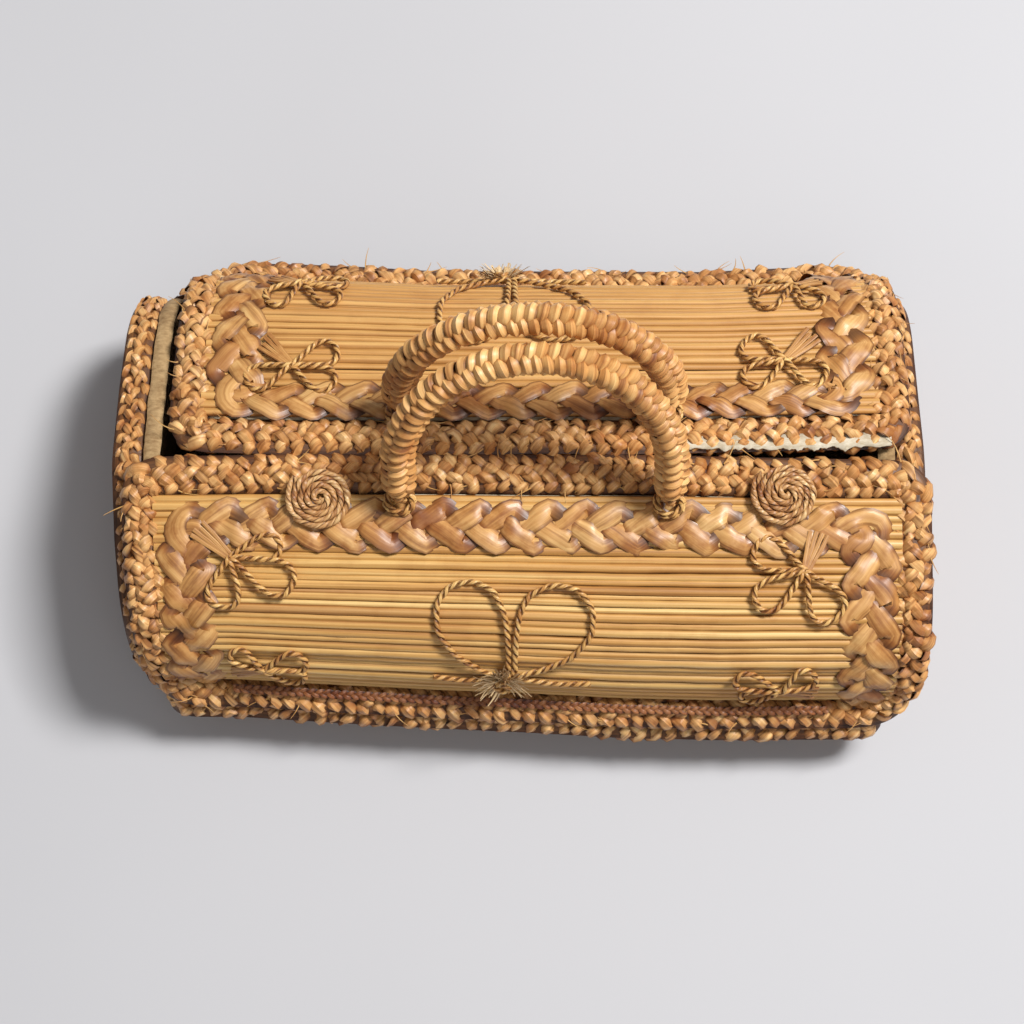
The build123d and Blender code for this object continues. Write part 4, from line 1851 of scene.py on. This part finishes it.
@dataclass
class EndPiece:
    """Flat end of the case with its rim, straws, board and lining."""

    shop: Workshop
    name: str
    hand: int
    cover: CoverShape
    tray: TrayShape
    field_inset: float = 5.3 * MM
    rim_inset: float = 2.1 * MM
    straw_pitch: float = 2.85 * MM
    seed: int = 41

    def build(self) -> None:
        """Make every piece of the end."""
        self.rim()
        self.board()
        self.lining()
        self.straws()

    def outline(self, inset: float, x: float) -> Guide:
        """Closed line round the end, set in from the panels.

        Args:
            inset: Distance inside the panels' inner faces.
            x: Place along the length.

        Returns:
            The line with its outward directions.
        """
        shape, tray = self.cover, self.tray
        radius = shape.inner - inset
        wall = shape.shoulder_y + shape.inner
        corner = wall - tray.centre_y - inset
        half: list[tuple[float, float, float, float]] = []
        for run in np.linspace(0.0, shape.full_run(radius), 40):
            point, up = shape.place(x, run, radius)
            half.append((abs(point[1]), point[2], abs(up[1]), up[2]))
        for angle in np.linspace(0.0, pi / 2, 12):
            out_y, out_z = cos(angle), -sin(angle)
            half.append(
                (tray.centre_y + corner * out_y, tray.depth + corner * out_z, out_y, out_z)
            )
        line = half[1:] + [(-y, z, -v, w) for y, z, v, w in half[::-1][:-1]]
        return Guide.along(
            [(x, y, z) for y, z, _, _ in line], [(0, v, w) for _, _, v, w in line], closed=True
        )

    def rim(self) -> None:
        """Plait round the end."""
        low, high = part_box(f"{self.name}_end_rim_plait")
        guide = self.outline(self.rim_inset, (low[0] + high[0]) / 2).softened(6)
        values = dict(RIM_PLAIT.__dict__)
        values.update(half_width=4.0 * MM, crown=1.4 * MM, bed_wide=9.6 * MM, bed_thick=2.4 * MM)
        values.update(bed_drop=1.9 * MM, wide=2.7 * MM)
        plait = fitted(Plait(**values), guide)
        finishes = self.shop.finishes
        piece = self.shop.flat_on_bed.weave(
            f"{self.name}_end_rim",
            [stepped(guide, plait)],
            plait,
            finishes.rim,
            finishes.rim_bed,
            seed=self.seed,
        )
        settle(piece, "case", "rim_plait", f"{self.name}_end_rim_plait")

    def _levels(self, count: int) -> tuple[np.ndarray, Callable[[float], float]]:
        """Heights over the end's field and a function for its half-width at a height.

        Args:
            count: Number of heights.

        Returns:
            The heights, and the function from a height to a half-width.
        """
        guide = self.outline(self.field_inset, 0.0).spaced(400)
        right = guide.points[guide.points[:, 1] > 0]
        order = np.argsort(right[:, 2])
        heights, reach = right[order, 2], right[order, 1]
        levels = np.linspace(heights[0] + 0.3 * MM, heights[-1] - 0.2 * MM, count)
        return levels, lambda z: float(np.interp(z, heights, reach))

    def _grid(self, x: float) -> tuple[np.ndarray, np.ndarray]:
        """Grid of points and outward directions over the end's field.

        Args:
            x: Where the layer stands.

        Returns:
            Points and directions, rows by columns by 3.
        """
        levels, reach = self._levels(40)
        shares = np.linspace(-1, 1, 44)
        rows = np.array([[(x, reach(z) * s, z) for s in shares] for z in levels])
        ups = np.zeros_like(rows)
        ups[..., 0] = self.hand
        return rows, ups

    def board(self) -> None:
        """Pasteboard between the cloth and the straws."""
        low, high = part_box(f"{self.name}_end_board")
        rows, ups = self._grid(high[0] if self.hand == RIGHT else low[0])
        name, finish = f"{self.name}_end_pasteboard", self.shop.finishes.card
        piece = bent_sheet(name, rows, ups, finish, 0.05 * MM, LAYERS.end_board)
        settle(piece, "case", "card", f"{self.name}_end_board")

    def lining(self) -> None:
        """Cloth on the inside of the end's board, and its thick upper edge."""
        low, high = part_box(f"{self.name}_end_lining")
        rows, ups = self._grid(high[0] if self.hand == RIGHT else low[0])
        piece = bent_sheet(f"{self.name}_end_cloth", rows, ups, self.shop.finishes.lining)
        settle(piece, "case", "lining", f"{self.name}_end_lining")
        self.lining_edge(low[0] if self.hand == RIGHT else high[0])

    def lining_edge(self, face: float) -> None:
        """Thick edge of cloth that stands up inside the rim.

        Args:
            face: X of the cloth's inner face.
        """
        whole = self.outline(self.rim_inset + 0.4 * MM, face - self.hand * 1.6 * MM)
        above = whole.points[:, 2] > self.tray.brim_top
        order = np.argsort(whole.points[above][:, 1])
        edge = Guide.along(whole.points[above][order], whole.ups[above][order]).softened(4)
        fold = Plait(wide=5.4 * MM, thick=2.2 * MM, jitter=1.4 * MM, tilt=0.5, sides=10)
        piece = self.shop.single.weave(
            f"{self.name}_end_edge", [edge], fold, self.shop.finishes.lining, seed=self.seed
        )
        settle(piece, "case", "lining")

    def straws(self) -> None:
        """Level straws on the outside of the end."""
        low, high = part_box(f"{self.name}_end_straws")
        x = (low[0] + high[0]) / 2
        levels, reach = self._levels(2)
        count = round((levels[-1] - levels[0]) / self.straw_pitch)
        guides = []
        for n in range(count):
            z = levels[0] + (n + 0.5) * (levels[-1] - levels[0]) / count
            half = reach(z) + 1 * MM
            ys = np.linspace(-half, half, 16)
            line = [(x, y, z) for y in ys]
            guides.append(Guide.along(line, [(self.hand, 0, 0)] * len(line), strand=3.3 * n))
        straw = Plait(wide=2.85 * MM, thick=2.5 * MM, jitter=0.3 * MM)
        piece = self.shop.single.weave(
            f"{self.name}_end_field", guides, straw, self.shop.finishes.end_straw, seed=self.seed
        )
        settle(piece, "case", "straw", f"{self.name}_end_straws")


# --- Handles ----------------------------------------------------------------------------------


@dataclass
class Handle:
    """Bow handle of round plait over a core, with a ring of cord round each foot."""

    shop: Workshop
    name: str
    cover: CoverShape
    body: str
    cover_body: str
    foot_y: float
    lean: float
    leg: float
    middle: float = 3.5 * MM
    radius: float = 40.5 * MM
    pivot: float = 3.2 * MM
    taper: float = 7.5 * MM
    foot_share: float = 0.42
    ring: float = 3.7 * MM
    seed: int = 51

    def build(self) -> None:
        """Make every piece of the handle."""
        self.bow()
        self.foot_rings()
        # The core gets the dark band finish, which is painted shade.
        repaint(f"{self.name}_handle_core", self.shop.finishes.rim_bed)

    def foot(self, x: float, height: float) -> tuple[np.ndarray, np.ndarray]:
        """Point over the rim at the feet's distance from the mouth, and its outward direction."""
        point, up = self.cover.place(x, self.foot_y / cos(SLOPE), self.cover.rim_face)
        return point + up * height, up

    def bow(self) -> None:
        """Round plait from foot to foot."""
        origin, _ = self.foot(self.middle, self.pivot)
        lean = radians(self.lean)
        upright = np.array([0.0, sin(lean), cos(lean)])
        face = np.array([0.0, -cos(lean), sin(lean)])
        along = np.array([1.0, 0.0, 0.0])
        flat = [(-self.radius, v) for v in np.linspace(0, self.leg, 8)]
        for angle in np.linspace(pi, 0.0, 60)[1:-1]:
            flat.append((self.radius * cos(angle), self.leg + self.radius * sin(angle)))
        flat += [(self.radius, v) for v in np.linspace(self.leg, 0, 8)]
        points = [origin + along * u + upright * v for u, v in flat]
        guide = Guide.along(points, [face] * len(points))
        guide = guide.spaced(round(guide.length() / HANDLE_PLAIT.period * HANDLE_PLAIT.per_period))
        rise = (guide.points - origin) @ upright
        share = np.clip(rise / self.taper, 0.0, 1.0)
        guide.girth = self.foot_share + (1 - self.foot_share) * share * share * (3 - 2 * share)
        finishes = self.shop.finishes
        piece = self.shop.round.weave(
            f"{self.name}_handle",
            [guide],
            HANDLE_PLAIT,
            finishes.handle,
            finishes.rim_bed,
            seed=self.seed,
        )
        settle(piece, self.body, "handle_plait", f"{self.name}_handle_plait")

    def foot_rings(self) -> None:
        """Ring of cord on the rim round each foot."""
        guides = []
        for hand in (LEFT, RIGHT):
            centre, up = self.foot(self.middle + hand * self.radius, 0.7 * MM)
            side = np.cross(up, (1.0, 0.0, 0.0))
            angles = np.linspace(0, 2 * pi, 25)[:-1]
            for level in (0.0, 1.0):
                ring = self.ring + 0.5 * MM * (1 - level)
                points = [
                    centre
                    + np.array([1.0, 0, 0]) * ring * cos(a)
                    + side * ring * sin(a)
                    + up * level * 0.9 * MM
                    for a in angles
                ]
                guides.append(
                    Guide.along(points, [up] * len(points), closed=True, strand=hand + level)
                )
        guides = [stepped(guide, CORD) for guide in guides]
        piece = self.shop.twist.weave(f"{self.name}_rings", guides, CORD, self.shop.finishes.cord)
        settle(piece, self.cover_body, "handle_plait", f"{self.name}_foot_rings")


# --- Rosettes and corded ornaments ------------------------------------------------------------


@dataclass
class Rosette:
    """Flat coil of thin cord sewn on the front cover's mouth rim."""

    shop: Workshop
    name: str
    cover: CoverShape
    pitch: float = 1.95 * MM
    heart: float = 0.7 * MM
    edge_lift: float = 0.9 * MM
    dome: float = 1.4 * MM

    def build(self) -> None:
        """Wind the coil."""
        low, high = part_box(f"{self.name}_rosette")
        x, reach = (low[0] + high[0]) / 2, (high[0] - low[0]) / 2 - 0.8 * MM
        y = -(low[1] + high[1]) / 2
        run = y / cos(SLOPE)
        turns = (reach - self.heart) / self.pitch
        angles = np.linspace(0.0, 2 * pi * turns, round(turns * 34))
        radii = self.heart + self.pitch * angles / (2 * pi)
        lifts = self.edge_lift + self.dome * (1 - (radii / reach) ** 2)
        places = [(x + r * cos(a), run + r * sin(a)) for r, a in zip(radii, angles)]
        guide = self.cover.guide(places, self.cover.rim_face, lifts)
        coil = Plait(
            strands=3,
            half_width=0.62 * MM,
            period=7.0 * MM,
            wide=1.5 * MM,
            thick=0.7 * MM,
            jitter=2.0 * MM,
            tilt=2.0,
            fold=0.15 * MM,
            sides=6,
            per_period=12,
        )
        piece = self.shop.twist.weave(
            f"{self.name}_coil", [stepped(guide, coil)], coil, self.shop.finishes.rosette
        )
        settle(piece, "case", "rosette", f"{self.name}_rosette")


@dataclass(frozen=True)
class Petal:
    """One loop of cord, from the middle of a flower to its tip, in millimetres on the cover."""

    across: float
    down: float
    wide: float


@dataclass(frozen=True)
class FlowerPlan:
    """Where a flower sits on a cover and how its petals and stem lie, in millimetres.

    Attributes:
        node: CAD node that it replaces.
        x: Its middle along the length.
        run: Its middle, as a run from the mouth.
        petals: Its loops.
        stem: Across and down to the end of its stem.
    """

    node: str
    x: float
    run: float
    petals: tuple[Petal, ...]
    stem: tuple[float, float]


FRONT_FLOWERS = (
    FlowerPlan(
        "front_left_flower",
        -88.0,
        34.0,
        (Petal(15.0, -4.5, 8.5), Petal(19.0, 8.5, 10.5), Petal(-3.0, 17.0, 9.5)),
        (-9.0, -9.0),
    ),
    FlowerPlan(
        "front_right_flower",
        85.0,
        36.0,
        (Petal(-15.5, -6.5, 9.0), Petal(-15.0, 9.5, 10.0), Petal(9.5, 14.0, 10.0)),
        (4.0, -11.0),
    ),
    FlowerPlan(
        "front_low_left_flower",
        -80.0,
        75.0,
        (Petal(13.0, -6.0, 7.5), Petal(12.5, 5.0, 7.5), Petal(-9.0, -7.5, 7.5)),
        (-10.0, 3.0),
    ),
    FlowerPlan(
        "front_low_right_flower",
        79.0,
        76.0,
        (Petal(-14.0, -5.5, 7.5), Petal(-12.0, 4.5, 7.0), Petal(9.5, -7.0, 7.5)),
        (11.0, 2.0),
    ),
)
BACK_FLOWERS = (
    FlowerPlan(
        "back_left_flower",
        -71.0,
        29.0,
        (Petal(13.0, -6.5, 8.0), Petal(13.5, 6.5, 8.5), Petal(-13.0, -6.0, 9.0)),
        (-9.0, 9.0),
    ),
    FlowerPlan(
        "back_right_flower",
        81.0,
        31.0,
        (Petal(-12.5, -7.5, 8.5), Petal(-12.0, 7.5, 8.5), Petal(12.0, -6.5, 9.0)),
        (9.0, 9.0),
    ),
    FlowerPlan(
        "back_low_left_flower",
        -70.0,
        62.0,
        (Petal(12.0, -8.0, 8.0), Petal(14.0, 4.0, 8.0), Petal(-10.0, -9.0, 8.0)),
        (-9.0, 5.0),
    ),
    FlowerPlan(
        "back_low_right_flower",
        86.0,
        62.0,
        (Petal(-12.0, -8.0, 8.0), Petal(-13.0, 4.0, 8.0), Petal(8.0, -9.5, 8.0)),
        (9.0, 4.0),
    ),
)


@dataclass
class Ornaments:
    """Flowers and the heart of twisted cord sewn on one cover."""

    shop: Workshop
    name: str
    cover: CoverShape
    body: str
    flowers: tuple[FlowerPlan, ...]
    heart_run: float
    knot_down: float = 26.0
    knot_aside: float = -3.0
    heart_x: float = -3.4
    seed: int = 61
    cord_lift: float = 0.85 * MM

    def build(self) -> None:
        """Make the flowers, the heart and its knot."""
        for plan in self.flowers:
            self.flower(plan)
        self.heart()
        self.knot()

    def _line(
        self,
        places: Sequence[tuple[float, float]],
        lifts: Sequence[float],
        strand: float,
        soft: int = 3,
    ) -> Guide:
        """Cord line through places given in millimetres on the cover.

        Args:
            places: X and run of each place.
            lifts: Height over the straws at each, in millimetres.
            strand: Number that tells it from others.
            soft: Rounds of smoothing.

        Returns:
            The guide.
        """
        metres = [(x * MM, run * MM) for x, run in places]
        heights = [self.cord_lift + lift * MM for lift in lifts]
        guide = self.cover.guide(metres, self.cover.straw_face, heights, strand=strand)
        return stepped(guide.softened(soft, 0.6 * MM), CORD)

    def flower(self, plan: FlowerPlan) -> None:
        """Loops of cord from one point, with a short stem of straws.

        Args:
            plan: Where it lies and how its petals turn.
        """
        chance = np.random.default_rng(self.seed + len(plan.node))
        guides = []
        shares = np.linspace(0.0, 1.0, 26)
        for number, petal in enumerate(plan.petals):
            long = float(np.hypot(petal.across, petal.down))
            ahead = np.array([petal.across, petal.down]) / long
            beside = np.array([-ahead[1], ahead[0]])
            skew = chance.uniform(-0.12, 0.12)
            places, lifts = [], []
            for s in shares:
                reach = long * sin(pi * s) ** 0.8
                width = petal.wide / 2 * sin(2 * pi * s) * (1 + skew)
                spot = ahead * reach + beside * (width + skew * reach * 0.4)
                places.append((plan.x + spot[0], plan.run + spot[1]))
                lifts.append(0.3 + 0.5 * abs(cos(pi * s)) ** 4 * (1 + number * 0.5))
            guides.append(self._line(places, lifts, 11.0 * number))
        piece = self.shop.twist.weave(f"{plan.node}_loops", guides, CORD, self.shop.finishes.cord)
        settle(piece, self.body, "cord", plan.node)
        self.stem(plan, chance)

    def stem(self, plan: FlowerPlan, chance: np.random.Generator) -> None:
        """Bundle of straws that runs out from a flower's middle.

        Args:
            plan: The flower's plan.
            chance: Source of the variation.
        """
        lines = []
        end = np.array(plan.stem)
        beside = np.array([-end[1], end[0]]) / np.linalg.norm(end)
        for number in range(4):
            shift = (number - 1.5) * 1.3
            places, lifts = [], []
            for s in np.linspace(0.0, 1.0, 7):
                spot = end * s * chance.uniform(0.9, 1.1) + beside * shift * (0.4 + s)
                places.append((plan.x + spot[0], plan.run + spot[1]))
                lifts.append(0.9 - 0.5 * s)
            lines.append(self._line(places, lifts, 4.0 * number))
        straw = Plait(wide=1.5 * MM, thick=1.0 * MM, jitter=0.3 * MM, sides=6)
        piece = self.shop.single.weave(f"{plan.node}_stem", lines, straw, self.shop.finishes.border)
        settle(piece, self.body, "cord")

    def heart(self) -> None:
        """Two large loops that meet in a knot at the bottom, with two tails."""
        run, x = self.heart_run, self.heart_x
        loop = (
            (0.6, 23.0), (9.0, 20.5), (18.0, 14.5), (23.4, 6.5), (23.6, -2.0), (19.5, -7.8),
            (12.5, -9.4), (5.6, -6.5), (2.2, 0.5), (1.2, 9.0), (0.8, 22.0),
        )
        tail = ((0.5, 22.5), (8.0, 25.0), (15.0, 26.0), (24.0, 25.0))
        guides = []
        for hand in (LEFT, RIGHT):
            wobble = 1.0 + 0.04 * hand
            places = [(x + hand * a * wobble, run + b * (2 - wobble)) for a, b in loop]
            lifts = [1.4, 0.3, 0.2, 0.3, 0.2, 0.3, 0.2, 0.3, 0.5, 0.3, 1.0]
            guides.append(self._line(places, lifts, 5.0 * hand, soft=14))
            places = [(x + hand * a, run + b) for a, b in tail]
            guides.append(self._line(places, [1.0, 0.3, 0.1, 0.1], 3.0 * hand, soft=8))
        piece = self.shop.twist.weave(f"{self.name}_heart", guides, CORD, self.shop.finishes.cord)
        settle(piece, self.body, "cord", f"{self.name}_heart_cord")

    def knot(self) -> None:
        """Frayed knot where the heart's loops meet."""
        chance = np.random.default_rng(self.seed)
        x, run = (self.heart_x + self.knot_aside) * MM, (self.heart_run + self.knot_down) * MM
        place, up = self.cover.place(x, run, self.cover.straw_face + 1.2 * MM)
        along, down = np.array([1.0, 0.0, 0.0]), np.cross((1.0, 0.0, 0.0), up) * -1.0
        spots = []
        for _ in range(120):
            spread = chance.normal(0.0, 1.1)
            heading = along * sin(spread) + down * cos(spread)
            root = (
                place
                + heading * chance.uniform(-1.0, 1.8) * MM
                + up * chance.uniform(0, 1.4) * MM
            )
            spots.append((root, up, heading))
        splinter = Plait(wide=1.3 * MM, thick=0.4 * MM, jitter=2.4 * MM, tilt=2.0, sides=4)
        finish = self.shop.finishes.tuft
        fibres = frays(spots, chance, (3 * MM, 8.5 * MM), 4.2 * MM)
        piece = self.shop.single.weave(f"{self.name}_tuft", fibres, splinter, finish)
        settle(piece, self.body, "cord", f"{self.name}_heart_knot")
        turns = []
        long, short = 2.6, 1.7
        for number in range(5):
            turn = chance.uniform(0, pi)
            angles = np.linspace(0, 2 * pi, 22)[:-1]
            middle_x, middle_run = self.heart_x + self.knot_aside, self.heart_run + self.knot_down
            ring = [
                (
                    middle_x + long * cos(a) * cos(turn) - short * sin(a) * sin(turn),
                    middle_run + long * cos(a) * sin(turn) + short * sin(a) * cos(turn),
                )
                for a in angles
            ]
            turns.append(self._line(ring, [0.4 + 0.5 * number] * len(ring), 2.0 * number))
        wraps = self.shop.twist.weave(f"{self.name}_knot", turns, CORD, self.shop.finishes.cord)
        settle(wraps, self.body, "cord")


@dataclass
class HingeCord:
    """Cord that holds the back cover to the bottom panel."""

    shop: Workshop

    def build(self) -> None:
        """Twist the cord."""
        low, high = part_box("hinge_cord")
        y, z = (low[1] + high[1]) / 2, (low[2] + high[2]) / 2
        guide = Guide.along([(low[0], y, z), (high[0], y, z)], [(0, 0, 1)] * 2)
        cord = Plait(
            strands=2,
            half_width=0.3 * MM,
            period=4 * MM,
            wide=0.8 * MM,
            thick=0.75 * MM,
            sides=6,
            per_period=8,
        )
        piece = self.shop.twist.weave(
            "hinge_twist", [stepped(guide, cord)], cord, self.shop.finishes.hem
        )
        settle(piece, "case", "cord", "hinge_cord")


# --- Studio -----------------------------------------------------------------------------------


@dataclass
class Studio:
    """Plain pale floor, soft lights and the camera."""

    floor_tone: Colour = shade(193, 192, 194)
    aim: tuple[float, float, float] = (-3.3 * MM, -17.9 * MM, 69.7 * MM)
    away: float = 650 * MM
    height_share: float = 0.959
    front_share: float = 0.284
    lens: float = 75.7

    def build(self) -> None:
        """Make all of it."""
        self.floor()
        self.lights()
        self.camera()

    def floor(self) -> None:
        """Wide floor at the height the bag rests on."""
        half = 3.0
        corners = [(-half, -half, 0), (half, -half, 0), (half, half, 0), (-half, half, 0)]
        mesh = bpy.data.meshes.new("floor")
        mesh.from_pydata(corners, [], [(0, 1, 2, 3)])
        mesh.materials.append(FloorFinish("pale_floor", self.floor_tone).make())
        floor = bpy.data.objects.new("floor", mesh)
        bpy.context.scene.collection.objects.link(floor)

    def _lamp(
        self, name: str, place: tuple[float, float, float], size: float, power: float
    ) -> None:
        """Square soft light that faces the bag.

        Args:
            name: Name of the light.
            place: Where it hangs.
            size: Length of its side.
            power: Watts.
        """
        light = bpy.data.lights.new(name, "AREA")
        light.size = size
        light.energy = power
        lamp = bpy.data.objects.new(name, light)
        lamp.location = place
        heading = Vector((0, 0, 0.04)) - Vector(place)
        lamp.rotation_euler = heading.to_track_quat("-Z", "Y").to_euler()
        bpy.context.scene.collection.objects.link(lamp)

    def lights(self) -> None:
        """Key light from the back right, a weak fill and an even surround."""
        self._lamp("key", (0.80, 0.30, 1.56), 0.42, 37.0)
        self._lamp("fill", (0.2, -0.9, 1.6), 1.0, 3.5)
        world = bpy.data.worlds.new("surround")
        world.use_nodes = True
        glow = world.node_tree.nodes["Background"]
        glow.inputs["Color"].default_value = (0.96, 0.97, 1.0, 1.0)
        glow.inputs["Strength"].default_value = 0.23
        bpy.context.scene.world = world
        bpy.context.scene.view_settings.view_transform = "Standard"

    def camera(self) -> None:
        """Camera looking steeply down from the front."""
        lens = bpy.data.cameras.new("camera")
        lens.lens = self.lens
        lens.clip_start = 0.01
        camera = bpy.data.objects.new("camera", lens)
        aim = Vector(self.aim)
        camera.location = aim + self.away * Vector((0.0, -self.front_share, self.height_share))
        camera.rotation_euler = (aim - camera.location).to_track_quat("-Z", "Y").to_euler()
        bpy.context.scene.collection.objects.link(camera)
        bpy.context.scene.camera = camera


def main() -> None:
    """Build the bag piece by piece, then the studio."""
    logging.basicConfig(level=logging.INFO, format="%(name)s %(message)s")
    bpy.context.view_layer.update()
    shop = Workshop()
    front = FrontCover(shop, "front", FRONT, "case", 23.2 * MM, 0.92, 11)
    back = BackCover(
        shop, "back", BACK, "back_cover", 18.0 * MM, 0.74, 12, brim_out=8.2 * MM, brim_rise=1.2 * MM
    )
    tray = Tray(shop)
    for piece in (front, back, tray):
        piece.build()
    for name, hand in (("left", LEFT), ("right", RIGHT)):
        EndPiece(shop, name, hand, front.shape, tray.shape, seed=41 + hand).build()
        Rosette(shop, name, front.shape).build()
    HingeCord(shop).build()
    Handle(shop, "front", front.shape, "front_handle", "case", 15.5 * MM, 30.0, 14.5 * MM).build()
    Handle(shop, "back", back.shape, "back_handle", "back_cover", 12.6 * MM, 12.0, 8.2 * MM).build()
    Ornaments(shop, "front", front.shape, "case", FRONT_FLOWERS, 50.0).build()
    Ornaments(shop, "back", back.shape, "back_cover", BACK_FLOWERS, 48.0).build()
    Studio().build()


if __name__ == "__main__":
    main()
